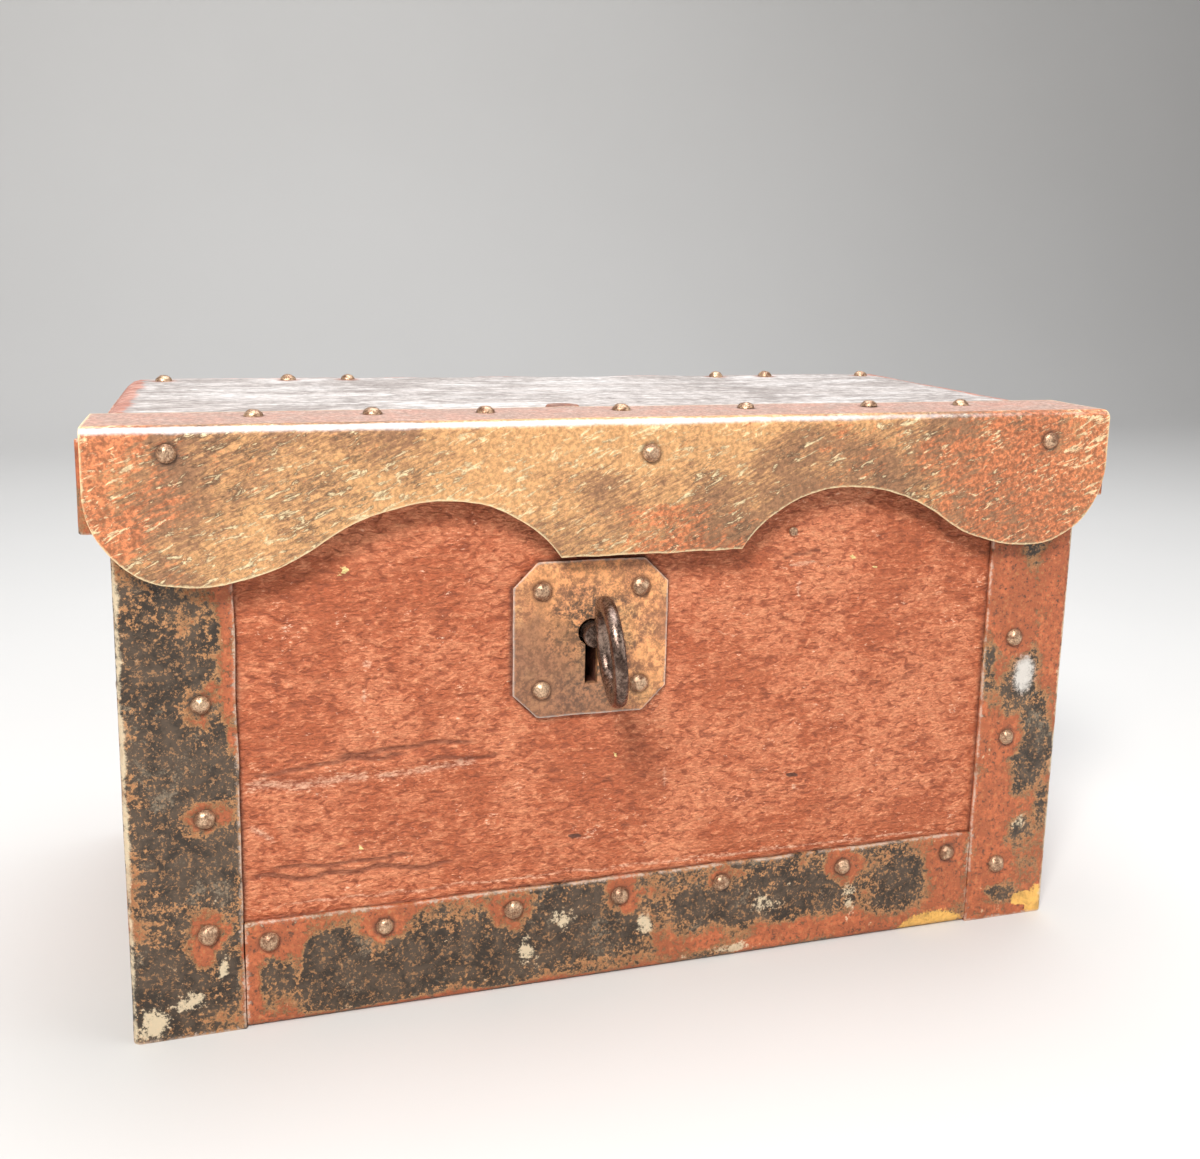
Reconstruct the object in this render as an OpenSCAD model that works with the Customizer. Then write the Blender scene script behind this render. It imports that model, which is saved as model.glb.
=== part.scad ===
// Iron-bound wooden money chest: a boarded box with sheet-iron corners, a hinged
// lid with a scalloped iron apron, and a box lock with its key.
// Millimetres. +Z is up, the front faces -Y, and the origin is the centre of the underside.

/* [Chest] */
// Width of the chest over its corner irons
chest_w = 300; // [280:1:340]
// Depth of the chest over its corner irons
chest_d = 146; // [140:1:190]
// Height of the walls, from the underside to the rim
wall_h = 163; // [160:1:200]
// Thickness of the wall boards
board_t = 12; // [11:0.5:14]

/* [Irons] */
// Thickness of the sheet iron on the chest
iron_t = 1.3; // [1:0.1:1.8]
// Width of each face of a corner iron
corner_w = 31; // [28:1:36]
// Height of the base irons on the walls
base_iron_h = 33; // [30:1:38]
// Width of the base irons under the chest
base_flange = 24; // [20:1:28]

/* [Lid] */
// Thickness of the lid board
lid_t = 12.6; // [11:0.2:16]
// Half width of the lid board
lid_half_w = 155.5; // [155:0.5:159]
// How far the lid stands proud of the front irons
lid_overhang = 5.7; // [5.4:0.1:8]
// Thickness of the apron's iron
apron_t = 1.5; // [1.3:0.1:1.8]
// Depth of the apron's top flange, front to back
flange_d = 30.7; // [28:0.1:40]

/* [Scalloped apron] */
// Depth of the apron at its round lobes
lobe_drop = 43.3; // [40:0.1:46]
// Depth of the apron at its middle tongue
tongue_drop = 40; // [36:0.5:42]
// Half width of the middle tongue
tongue_half_w = 28; // [24:1:32]
// Depth of the apron at the crest of each arch
crest_drop = 22.2; // [20:0.2:26]
// Distance of each arch's crest from the middle
crest_x = 62; // [58:1:66]
// Distance of each lobe's lowest point from the middle
lobe_x = 129; // [126:0.5:130]

/* [Nails] */
// Radius of a domed nail head
head_r = 2.9; // [2.4:0.1:3.2]
// Height of a domed nail head
head_h = 2.1; // [1.4:0.1:2.2]
// Radius of a nail's shank
shank_r = 1.2; // [0.8:0.1:1.4]

/* [Lock] */
// Distance of the keyhole from the chest's middle, negative to the left
lock_x = -17; // [-20:0.5:-14]
// Height of the keyhole
lock_z = 113; // [112:0.5:114]
// Side of the square lock plate
plate_side = 47.8; // [46:0.2:50]
// Size of the lock plate's clipped corners
plate_clip = 7.5; // [6:0.5:9]
// Travel of the bolt
bolt_throw = 9.6; // [9:0.1:9.8]
// Outside radius of the key's bow
bow_r = 16; // [15:0.1:17]

/* [Hidden] */
$fn = 48;
PROUD = 0.6;              // how far a cutting shape runs past the face it cuts
GAP = 0.3;                // gap between the lid board and the rim
front = -chest_d / 2;     // outer face of the front irons
back = chest_d / 2;
side = chest_w / 2;
front_wood = front + iron_t;      // outer face of the front board
back_wood = back - iron_t;
side_wood = side - iron_t;
inner_front = front_wood + board_t;
inner_back = back_wood - board_t;
inner_side = side_wood - board_t;
floor_top = iron_t + board_t;

lid_z = wall_h + GAP;             // underside of the lid board
lid_top = lid_z + lid_t;          // top of the lid board
top_z = lid_top + apron_t;        // top of the apron's flange
apron_front = front - lid_overhang;
apron_back = apron_front + apron_t;
bend_r = 3;                       // outer radius of the apron's bend
bend_ease = bend_r - apron_t;     // how much the board's front edge is eased under the bend
bevel_w = 6.6;                    // bevel along the lid's two ends
bevel_h = 5.9;
side_iron_low = top_z - 28;       // lower edge of the lid's side irons
side_iron_high = lid_top - bevel_h - 0.4;
side_tab_w = 12;                  // tab of a side iron behind the apron

// Nail places: [x, z] on the front, [y, z] on the sides, [x, y] on the lid.
nail_inset = 9.5;                 // corner nails, from the iron's free edge
corner_nail_x = side - corner_w + nail_inset;
right_nail_out = 1.5;              // the right-hand front nails sit this much further out
corner_nail_y = back - corner_w + nail_inset;
base_nail_z = 26.5;
front_left_z = [31, 66, 99.5, 152];
front_right_z = [20, 66, 101, 152];
other_z = [31, 66, 100, 140];
front_base_x = [-112, -79, -40, -6, 28, 71, 110];
back_base_x = [-110, -74, -37, 0, 37, 74, 110];
side_base_y = [-32, 0, 32];
flange_nail_x = [-112, -79, -46, -4, 37, 80, 114];
flange_nail_y = apron_front + flange_d - 8.5;
empty_hole = [145, apron_front + 18];
apron_nails = [[-134.5, 7], [-1.5, 10], [133.5, 9.5]];   // [x, depth below the top]
lid_side_nail_y = [-58, -16, 26, 62];
lid_side_nail_z = side_iron_low + 16;
lid_corner_x = 141;
stub_nail = [48, 140.5];
front_nail_l = 10;
side_nail_l = 9;
lid_nail_l = 9;

// Hinges
hinge_x = 86;                     // distance of each hinge from the middle
hinge_w = 40;
hinge_nail_x = 11;                // the leaves' nails, either side of each hinge's middle
knuckle_r = 3.4;
hinge_pin_r = 1.5;
pin_play = 0.06;
hinge_t = 1.5;
hinge_y = back_wood + knuckle_r + 0.3;
hinge_z = wall_h + GAP / 2;
hinge_leaf_h = 44;
hinge_wrap = 15;                  // how far the upper leaf reaches under the lid
knuckle_gap = 0.4;
knuckle_l = (hinge_w - 2 * knuckle_gap) / 3;

// Lock
plate_t = 1.8;
plate_z = lock_z - 1.9;           // the plate's middle
plate_nail = 15.2;                // plate nails, from the plate's middle
hole_r = 4.2;                     // round part of the keyhole
slot_w = 4;
case_t = 1.5;
case_w = 84;
case_low = lock_z - 29;
case_high = wall_h - 3;
case_back = inner_front + 14;     // outer face of the case's back
case_in = case_back - case_t;     // inner face of the case's back
ear_w = 10;
ear_nail_z = [case_low + 13, case_high - 13];
bolt_y = inner_front + 7;         // middle plane of the bolt
bolt_t = 4;
bar_low = lock_z + 12;
bar_high = lock_z + 22;
bar_right = lock_x + 30;
arm_left = lock_x - 34;
arm_w = 10;
tongue_low = lock_z + 33;
tongue_high = lock_z + 41;
tongue_tip = lock_x - 3;
bit_r = 14.5;
bit_t = 3;
bit_play = 1.2;
guide_w = 4;
guide_t = 2;
guide_play = 0.4;
spring_t = 0.8;
spring_touch = 25;                // where the spring bears on the bolt, from the keyhole
spring_tip = 21;
staple_in = 5.5;                  // staple's opening, front to back
staple_t = 2;
staple_x_t = 3;
staple_low = lock_z + 28;
staple_bar = 2.5;
staple_plate_t = 1.8;
rivet_y = inner_front + 23.7;
drill_r = 1.75;
drill_play = 0.08;
stem_r = 3.2;
stem_tip = case_in - 1.4;
collar_back = front - 2;
collar_front = collar_back - 3.5;
bow_bar = 5;
bow_turn = [0, -6, -6.4];          // the bow sits a little askew on the stem
stem_swell = 0.5;                 // how much wider the stem is at the bow
bow_y = collar_front - bow_r + 1.5;
ward_r = 8;
ward_t = 1.2;
ward_high = 3;

WOOD_RED = "#9c4a32";
WOOD_GREY = "#a59b90";
WOOD_BARE = "#b08a5c";
IRON_RED = "#a55a38";
IRON_DARK = "#5a4a3c";
IRON_GOLD = "#a87a4c";
STEEL = "#6a5a50";
NAIL = "#c09a80";

// ---------- placing and repeating ----------

// A box given by its two corners.
module block(low, high) {
    translate(low) cube(high - low);
}

// Puts a shape whose +Z points outwards on each wall.
module on_front(x, z, out = 0) {
    translate([x, front - out, z]) rotate([90, 0, 0]) children();
}

module on_back(x, z, out = 0) {
    translate([x, back + out, z]) rotate([90, 0, 180]) children();
}

module on_left(y, z, out = 0) {
    translate([-side - out, y, z]) rotate([90, 0, -90]) children();
}

module on_right(y, z, out = 0) {
    translate([side + out, y, z]) rotate([90, 0, 90]) children();
}

// Lays a shape drawn in X and Z flat against the front, thick towards +Y.
module upright(y, thick) {
    translate([0, y + thick, 0]) rotate([90, 0, 0]) linear_extrude(thick) children();
}

// A domed head standing on z = 0.
module dome(r, h) {
    ball = (r * r + h * h) / (2 * h);
    intersection() {
        translate([0, 0, h - ball]) sphere(ball);
        cylinder(r = r + 1, h = h + 1);
    }
}

// A forged nail: domed head above z = 0 and a round shank below. As a hole, only the shank.
module nail(length, hole = false) {
    if (hole)
        translate([0, 0, -length]) cylinder(r = shank_r, h = length + PROUD);
    else {
        dome(head_r, head_h);
        translate([0, 0, -length]) cylinder(r = shank_r, h = length);
    }
}

// ---------- nails on the chest ----------

module front_nails(hole = false) {
    color(NAIL) {
        for (z = front_left_z) on_front(-corner_nail_x, z) nail(front_nail_l, hole);
        for (z = front_right_z) on_front(corner_nail_x + right_nail_out, z) nail(front_nail_l, hole);
        for (x = front_base_x) on_front(x, base_nail_z) nail(front_nail_l, hole);
    }
}

module back_nails(hole = false) {
    color(NAIL) {
        for (s = [-1, 1], z = other_z) on_back(s * corner_nail_x, z) nail(front_nail_l, hole);
        for (x = back_base_x) on_back(x, base_nail_z) nail(front_nail_l, hole);
    }
}

module side_nail_set(hole) {
    for (s = [-1, 1], z = other_z) translate([s * corner_nail_y, z]) nail(side_nail_l, hole);
    for (y = side_base_y) translate([y, base_nail_z]) nail(side_nail_l, hole);
}

module left_nails(hole = false) {
    color(NAIL) on_left(0, 0) side_nail_set(hole);
}

module right_nails(hole = false) {
    color(NAIL) on_right(0, 0) side_nail_set(hole);
}

// A headless nail left standing in the front panel.
module panel_nail(hole = false) {
    color(NAIL) on_front(stub_nail[0], stub_nail[1], -iron_t)
        translate([0, 0, -8]) cylinder(r = 1.4, h = hole ? 8 + PROUD : 8.7);
}

module lock_plate_nails(hole = false) {
    color(NAIL) for (sx = [-1, 1], sz = [-1, 1])
        on_front(lock_x + sx * plate_nail, plate_z + sz * plate_nail, plate_t - iron_t)
            nail(plate_t + 9.5, hole);
}

module lock_case_nails(hole = false) {
    color(NAIL) for (s = [-1, 1], z = ear_nail_z)
        translate([lock_x + s * (case_w + ear_w) / 2, inner_front + case_t, z])
            rotate([90, 0, 180]) nail(case_t + 7, hole);
}

module hinge_lower_nails(hole = false) {
    color(NAIL) for (s = [-1, 1], u = [-1, 1], z = [12, 32])
        on_back(s * hinge_x + u * hinge_nail_x, wall_h - 8 - z, hinge_t - iron_t)
            nail(hinge_t + 8, hole);
}

// ---------- walls and floor ----------

// The keyhole: a round hole with the bit's slot below it, drawn in X and Z.
module keyhole(r, w, reach) {
    translate([lock_x, lock_z]) {
        circle(r);
        translate([-w / 2, -reach]) square([w, reach]);
    }
}

module front_board() {
    color(WOOD_RED) difference() {
        block([-side_wood, front_wood, iron_t], [side_wood, inner_front, wall_h]);
        upright(front_wood - 1, board_t + 2) keyhole(hole_r + 1, slot_w + 1.6, bit_r + 2.5);
        front_nails(true);
        panel_nail(true);
        lock_plate_nails(true);
        lock_case_nails(true);
    }
}

module back_board() {
    color(WOOD_RED) difference() {
        block([-side_wood, inner_back, iron_t], [side_wood, back_wood, wall_h]);
        back_nails(true);
        hinge_lower_nails(true);
    }
}

module left_board() {
    color(WOOD_RED) difference() {
        block([-side_wood, inner_front, iron_t], [-inner_side, inner_back, wall_h]);
        left_nails(true);
    }
}

module right_board() {
    color(WOOD_RED) difference() {
        block([inner_side, inner_front, iron_t], [side_wood, inner_back, wall_h]);
        right_nails(true);
    }
}

// The floor lies between the walls. Its underside stands down between the base irons.
module bottom_board() {
    fx = side - base_flange;
    fy = back - base_flange;
    cx = side - corner_w;
    cy = back - corner_w;
    color(WOOD_BARE) difference() {
        union() {
            block([-inner_side, inner_front, iron_t], [inner_side, inner_back, floor_top]);
            block([-fx, -fy, 0], [fx, fy, iron_t]);
        }
        for (sx = [-1, 1], sy = [-1, 1])
            translate([sx * (cx + side) / 2, sy * (cy + back) / 2, iron_t / 2 - PROUD / 2])
                cube([side - cx, back - cy, iron_t + PROUD], center = true);
    }
}

// ---------- corner and base irons ----------

// Sheet folded round a corner post, with a square foot folded under it. Corner at +X, +Y.
module corner_iron() {
    block([side - corner_w, back - iron_t, 0], [side, back, wall_h - 1.2]);
    block([side - iron_t, back - corner_w, 0], [side, back, wall_h - 1.2]);
    block([side - corner_w, back - corner_w, 0], [side, back, iron_t]);
}

module corner_iron_front_left() {
    color(IRON_DARK) difference() {
        rotate([0, 0, 180]) corner_iron();
        front_nails(true);
        left_nails(true);
    }
}

module corner_iron_front_right() {
    color(IRON_DARK) difference() {
        mirror([0, 1, 0]) corner_iron();
        front_nails(true);
        right_nails(true);
    }
}

module corner_iron_back_left() {
    color(IRON_DARK) difference() {
        mirror([1, 0, 0]) corner_iron();
        back_nails(true);
        left_nails(true);
    }
}

module corner_iron_back_right() {
    color(IRON_DARK) difference() {
        corner_iron();
        back_nails(true);
        right_nails(true);
    }
}

// Sheet folded along the lower edge of a wall between two corner irons.
module base_iron(half_l, reach) {
    block([-half_l, reach - iron_t, 0], [half_l, reach, base_iron_h]);
    block([-half_l, reach - base_flange, 0], [half_l, reach, iron_t]);
}

base_half_x = side - corner_w - 0.2;
base_half_y = back - corner_w - 0.2;

module base_iron_front() {
    color(IRON_RED) difference() {
        rotate([0, 0, 180]) base_iron(base_half_x, back);
        front_nails(true);
    }
}

module base_iron_back() {
    color(IRON_RED) difference() {
        base_iron(base_half_x, back);
        back_nails(true);
    }
}

module base_iron_left() {
    color(IRON_RED) difference() {
        rotate([0, 0, 90]) base_iron(base_half_y, side);
        left_nails(true);
    }
}

module base_iron_right() {
    color(IRON_RED) difference() {
        rotate([0, 0, -90]) base_iron(base_half_y, side);
        right_nails(true);
    }
}

// ---------- lock ----------

// A square with clipped corners.
module clipped_square(s, clip) {
    h = s / 2;
    c = h - clip;
    polygon([[-h, -c], [-c, -h], [c, -h], [h, -c], [h, c], [c, h], [-c, h], [-h, c]]);
}

module lock_plate() {
    color(IRON_RED) difference() {
        upright(front_wood - plate_t, plate_t) difference() {
            translate([lock_x, plate_z]) clipped_square(plate_side, plate_clip);
            keyhole(hole_r, slot_w, bit_r + 1.5);
        }
        lock_plate_nails(true);
    }
}

// A sheet-iron tray, open towards the front board, with an ear at each side.
module lock_case() {
    w = case_w / 2;
    color(IRON_DARK) difference() {
        union() {
            difference() {
                block([lock_x - w, inner_front, case_low], [lock_x + w, case_back, case_high]);
                block([lock_x - w + case_t, inner_front - PROUD, case_low + case_t],
                      [lock_x + w - case_t, case_in, case_high - case_t]);
            }
            for (s = [-1, 1])
                block([lock_x + s * (w + ear_w / 2) - ear_w / 2, inner_front, case_low],
                      [lock_x + s * (w + ear_w / 2) + ear_w / 2, inner_front + case_t, case_high]);
        }
        // the staple's way in through the top
        block([lock_x - 3.5, inner_front - PROUD, case_high - case_t - PROUD],
              [lock_x + 3.5, case_in, case_high + PROUD]);
        // the drill pin's hole
        translate([lock_x, case_back + PROUD, lock_z]) rotate([90, 0, 0])
            cylinder(r = drill_r + drill_play, h = case_t + 2 * PROUD);
        lock_case_nails(true);
    }
}

// A strap over the bolt, riveted to the case's back.
module bolt_guide(x, low, high) {
    face = bolt_y - bolt_t / 2 - guide_play;
    bottom = low - guide_play - guide_t;
    top = high + guide_play + guide_t;
    block([x, face - case_t, bottom], [x + guide_w, face, top]);
    block([x, face - case_t, bottom], [x + guide_w, case_in, low - guide_play]);
    block([x, face - case_t, high + guide_play], [x + guide_w, case_in, top]);
}

module bolt_guides() {
    color(IRON_DARK) {
        bolt_guide(lock_x + 15, bar_low, bar_high);
        bolt_guide(lock_x - 14, tongue_low, tongue_high);
    }
}

// A leaf riveted to the case's right wall that bears down on the bolt's bar.
module bolt_spring() {
    wall = case_w / 2 - case_t;
    foot = bar_high + 7;
    touch = bar_high + GAP;
    color(STEEL) translate([lock_x, 0, 0]) {
        upright(bolt_y - bolt_t / 2, bolt_t) polygon([
            [wall, foot + 10], [wall - spring_t, foot + 10], [wall - spring_t, foot],
            [spring_touch, touch + spring_t], [spring_tip, touch + 3],
            [spring_tip, touch + 2], [spring_touch, touch], [wall, foot - spring_t]
        ]);
        translate([wall - spring_t, bolt_y, foot + 6]) rotate([0, -90, 0]) dome(1.6, 0.9);
    }
}

// A ring on the case's back that passes through the notch in the key's bit.
module ward_ring() {
    color(IRON_DARK) translate([lock_x, case_in, lock_z]) rotate([90, 0, 0])
        difference() {
            cylinder(r = ward_r + ward_t, h = ward_high);
            translate([0, 0, -PROUD]) cylinder(r = ward_r, h = ward_high + 2 * PROUD);
        }
}

// The bolt's bar, with the talon that the key's bit turns through. The bolt moves evenly
// over one whole turn of the key.
module lock_bolt() {
    y0 = bolt_y - bolt_t / 2;
    y1 = bolt_y + bolt_t / 2;
    engaged = acos((bar_low - lock_z) / bit_r);
    reach = bit_r * sin(engaged) + bit_t / 2;
    talon = reach - bolt_throw * engaged / 360 + bit_play;
    color(STEEL) difference() {
        block([arm_left, y0, bar_low], [bar_right, y1, bar_high]);
        translate([lock_x - bolt_throw / 2, 0, 0])
            block([-talon, y0 - PROUD, bar_low - PROUD], [talon, y1 + PROUD, lock_z + bit_r + bit_play]);
    }
}

// The arm riveted on the bar's left end, with the tongue that enters the staple.
module bolt_tongue() {
    y0 = bolt_y - bolt_t / 2;
    y1 = bolt_y + bolt_t / 2;
    color(STEEL) {
        block([arm_left, y0, bar_high], [arm_left + arm_w, y1, tongue_high]);
        block([arm_left, y0, tongue_low], [tongue_tip, y1, tongue_high]);
    }
}

// The post that the pipe key turns on. Its rivet head is behind the case.
module drill_pin() {
    color(STEEL) translate([lock_x, case_back + 0.2, lock_z]) rotate([90, 0, 0]) {
        cylinder(r = drill_r, h = case_back + 0.2 - (front + 3));
        rotate([180, 0, 0]) dome(3, 1);
    }
}

// ---------- key ----------

module key_stem() {
    color(STEEL) difference() {
        union() {
            translate([lock_x, stem_tip, lock_z]) rotate([90, 0, 0])
                cylinder(r = stem_r, h = stem_tip - collar_back);
            translate([lock_x, collar_back, lock_z]) rotate([90, 0, 0])
                cylinder(r1 = stem_r, r2 = stem_r + stem_swell, h = collar_back - collar_front);
        }
        translate([lock_x, stem_tip + PROUD, lock_z]) rotate([90, 0, 0])
            cylinder(r = drill_r + drill_play, h = stem_tip + PROUD - (front + 1.5));
    }
}

module key_bit() {
    rear = case_in - 1.8;
    color(STEEL) difference() {
        block([lock_x - bit_t / 2, rear - 8.5, lock_z - bit_r], [lock_x + bit_t / 2, rear, lock_z - 1]);
        translate([lock_x, rear + PROUD, lock_z]) rotate([90, 0, 0])
            cylinder(r = stem_r, h = 10 + 2 * PROUD);
        // the ward's notch, an arc about the key's axis
        translate([lock_x, rear + PROUD, lock_z]) rotate([90, 0, 0]) difference() {
            cylinder(r = ward_r + ward_t + 0.4, h = 1.8 + PROUD);
            translate([0, 0, -PROUD]) cylinder(r = ward_r - 0.4, h = 2.4 + 2 * PROUD);
        }
    }
}

// A ring of round bar, nearly in the key's plane, seated on the end of the stem.
module key_bow() {
    color(STEEL) difference() {
        translate([lock_x, bow_y, lock_z]) rotate(bow_turn) rotate([0, 90, 0]) rotate_extrude($fn = 96)
            translate([bow_r - bow_bar / 2, 0]) circle(bow_bar / 2);
        translate([lock_x, collar_back, lock_z]) rotate([90, 0, 0])
            cylinder(r = 6, h = collar_back - collar_front);
    }
}

// ---------- hinges ----------

// The flat of an upper leaf, let into the underside of the lid board.
module hinge_recess(x, past) {
    block([x - hinge_w / 2, back_wood - hinge_wrap, lid_z - past],
          [x + hinge_w / 2, back_wood + past, lid_z + hinge_t]);
}

module knuckle(x, length, bore) {
    translate([x - length / 2, hinge_y, hinge_z]) rotate([0, 90, 0]) difference() {
        cylinder(r = knuckle_r, h = length);
        translate([0, 0, -PROUD]) cylinder(r = bore, h = length + 2 * PROUD);
    }
}

module hinge_bore(x, bore) {
    translate([x - hinge_w / 2 - PROUD, hinge_y, hinge_z]) rotate([0, 90, 0])
        cylinder(r = bore, h = hinge_w + 2 * PROUD);
}

// Leaf on the back board with its two outer knuckles.
module hinge_leaf_lower(x) {
    low = wall_h - 8 - hinge_leaf_h;
    neck = hinge_z - 4.5;
    color(IRON_DARK) difference() {
        union() {
            block([x - hinge_w / 2, back_wood, low], [x + hinge_w / 2, back_wood + hinge_t, neck]);
            for (s = [-1, 1]) {
                xk = x + s * (knuckle_l + knuckle_gap);
                knuckle(xk, knuckle_l, hinge_pin_r);
                difference() {
                    block([xk - knuckle_l / 2, back_wood, neck - 1],
                          [xk + knuckle_l / 2, hinge_y, hinge_z - 1.9]);
                    block([xk - knuckle_l, hinge_y - knuckle_r + 1.8, neck - 2],
                          [xk + knuckle_l, hinge_y + 1, hinge_z - knuckle_r]);
                }
            }
        }
        hinge_bore(x, hinge_pin_r);
        hinge_lower_nails(true);
    }
}

module hinge_leaf_lower_left() {
    hinge_leaf_lower(-hinge_x);
}

module hinge_leaf_lower_right() {
    hinge_leaf_lower(hinge_x);
}

// Leaf let into the underside of the lid, with the middle knuckle.
module hinge_leaf_upper(x) {
    color(IRON_DARK) difference() {
        union() {
            knuckle(x, knuckle_l, hinge_pin_r + pin_play);
            block([x - knuckle_l / 2, back_wood - hinge_wrap, lid_z],
                  [x + knuckle_l / 2, hinge_y, lid_z + hinge_t]);
            hinge_recess(x, 0);
        }
        hinge_bore(x, hinge_pin_r + pin_play);
        hinge_upper_nails(true);
    }
}

module hinge_leaf_upper_left() {
    hinge_leaf_upper(-hinge_x);
}

module hinge_leaf_upper_right() {
    hinge_leaf_upper(hinge_x);
}

module hinge_pin(x) {
    color(STEEL) translate([x, hinge_y, hinge_z]) rotate([0, 90, 0]) {
        translate([0, 0, -hinge_w / 2]) cylinder(r = hinge_pin_r, h = hinge_w);
        for (s = [0, 180]) rotate([s, 0, 0]) translate([0, 0, hinge_w / 2]) dome(2.6, 1.2);
    }
}

module hinge_pin_left() {
    hinge_pin(-hinge_x);
}

module hinge_pin_right() {
    hinge_pin(hinge_x);
}

// ---------- lid ----------

module on_lid(x, y, up = 0) {
    translate([x, y, lid_top + up]) children();
}

module hinge_upper_nails(hole = false) {
    color(NAIL) for (s = [-1, 1], u = [-hinge_nail_x, hinge_nail_x])
        on_lid(s * hinge_x + u, back_wood - 8) nail(lid_t, hole);
}

module apron_face_nails(hole = false) {
    color(NAIL) for (p = apron_nails)
        translate([p[0], apron_front, top_z - p[1]]) rotate([90, 0, 0]) nail(13, hole);
}

module apron_top_nails(hole = false) {
    color(NAIL) for (x = flange_nail_x) on_lid(x, flange_nail_y, apron_t) nail(apron_t + lid_nail_l, hole);
}

module lid_side_nails(hole = false) {
    color(NAIL) {
        for (y = lid_side_nail_y) {
            translate([lid_half_w + iron_t, y, lid_side_nail_z]) rotate([0, 90, 0]) nail(10, hole);
            translate([-lid_half_w - iron_t, y, lid_side_nail_z]) rotate([0, -90, 0]) nail(10, hole);
        }
    }
}

module lid_corner_nails(hole = false) {
    color(NAIL) for (s = [-1, 1]) on_lid(s * lid_corner_x, back_wood - 9) nail(lid_nail_l, hole);
}

module lid_board() {
    b = lid_half_w;
    color(WOOD_GREY) difference() {
        upright(apron_back, back_wood - apron_back)
            polygon([[-b, lid_z], [b, lid_z], [b, lid_top - bevel_h], [b - bevel_w, lid_top],
                     [bevel_w - b, lid_top], [-b, lid_top - bevel_h]]);
        for (s = [-1, 1])
            block([s > 0 ? b - side_tab_w : -b - PROUD, apron_back - PROUD, lid_z - PROUD],
                  [s > 0 ? b + PROUD : side_tab_w - b, apron_back + iron_t, lid_top + PROUD]);
        // eased front edge, clear of the apron's bend
        translate([0, apron_back, lid_top]) rotate([45, 0, 0])
            cube([2 * (b + PROUD), bend_ease * sqrt(2), bend_ease * sqrt(2)], center = true);
        apron_face_nails(true);
        apron_top_nails(true);
        lid_side_nails(true);
        lid_corner_nails(true);
        hinge_upper_nails(true);
        for (s = [-1, 1])
            hinge_recess(s * hinge_x, PROUD);
        staple_rivet(true);
    }
}

// Strip along an end of the lid board, with a tab folded behind the apron. At +X.
module lid_side_iron() {
    outer = lid_half_w + iron_t;
    block([lid_half_w, apron_back, side_iron_low], [outer, back_wood, side_iron_high]);
    block([lid_half_w - side_tab_w, apron_back, side_iron_low],
          [outer, apron_back + iron_t, lid_top - bend_ease]);
}

module lid_side_iron_right() {
    color(IRON_GOLD) difference() {
        lid_side_iron();
        lid_side_nails(true);
        apron_face_nails(true);
    }
}

module lid_side_iron_left() {
    color(IRON_GOLD) difference() {
        mirror([1, 0, 0]) lid_side_iron();
        lid_side_nails(true);
        apron_face_nails(true);
    }
}

// Points on an arc about c, from angle a to angle b.
function arc(c, r, a, b, n) =
    [for (i = [0:n]) c + r * [cos(a + (b - a) * i / n), sin(a + (b - a) * i / n)]];

// The right half of the apron's lower edge, from the middle tongue outwards, as [x, -depth].
function apron_edge() =
    let (
        // arch from the tongue's corner up to the crest
        rise = tongue_drop - crest_drop,
        run = crest_x - tongue_half_w,
        r1 = (run * run + rise * rise) / (2 * rise),
        start = 180 - asin((r1 - rise) / r1),
        // an S of two equal arcs from the crest down to the lobe
        h = lobe_drop - crest_drop,
        w = lobe_x - crest_x,
        r2 = (w * w + h * h) / (4 * h),
        half = 2 * atan(h / w),
        // round end of the lobe
        r3 = lid_half_w - lobe_x
    )
    concat(
        arc([crest_x, -crest_drop - r1], r1, start, 90, 14),
        arc([crest_x, -crest_drop - r2], r2, 90, 90 - half, 10),
        arc([lobe_x, -lobe_drop + r2], r2, 270 - half, 270, 10),
        arc([lobe_x, -lobe_drop + r3], r3, 270, 360, 16)
    );

module lid_apron() {
    edge = apron_edge();
    mirrored = [for (i = [len(edge) - 1:-1:0]) [-edge[i][0], edge[i][1]]];
    fold = apron_front + bend_r;
    w = lid_half_w;
    color(IRON_GOLD) difference() {
        union() {
            upright(apron_front, apron_t) translate([0, top_z])
                polygon(concat([[-w, -bend_r]], mirrored, edge, [[w, -bend_r]]));
            // the bend
            translate([-w, fold, top_z - bend_r]) rotate([90, 0, 90]) linear_extrude(2 * w)
                intersection() {
                    difference() {
                        circle(bend_r);
                        circle(bend_r - apron_t);
                    }
                    translate([-bend_r - 1, 0]) square([bend_r + 1, bend_r + 1]);
                }
            block([-w, fold, lid_top], [w, apron_front + flange_d, top_z]);
        }
        apron_face_nails(true);
        apron_top_nails(true);
        on_lid(empty_hole[0], empty_hole[1], -PROUD) cylinder(r = 1, h = apron_t + 2 * PROUD);
    }
}

// ---------- staple ----------

module staple_plate() {
    z1 = lid_z;
    z0 = lid_z - staple_plate_t;
    color(IRON_DARK) difference() {
        block([lock_x - 9, inner_front + 0.8, z0], [lock_x + 9, rivet_y + 7, z1]);
        staple_legs(z0 - PROUD, z1 + PROUD);
        staple_rivet(true);
    }
}

// The two legs of the staple between two heights.
module staple_legs(low, high) {
    for (s = [-1, 1]) {
        y = bolt_y + s * (staple_in + staple_t) / 2;
        block([lock_x - staple_x_t / 2, y - staple_t / 2, low],
              [lock_x + staple_x_t / 2, y + staple_t / 2, high]);
    }
}

module staple_loop() {
    reach = staple_in / 2 + staple_t;
    color(STEEL) {
        staple_legs(staple_low, lid_z);
        block([lock_x - staple_x_t / 2, bolt_y - reach, staple_low],
              [lock_x + staple_x_t / 2, bolt_y + reach, staple_low + staple_bar]);
    }
}

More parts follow.
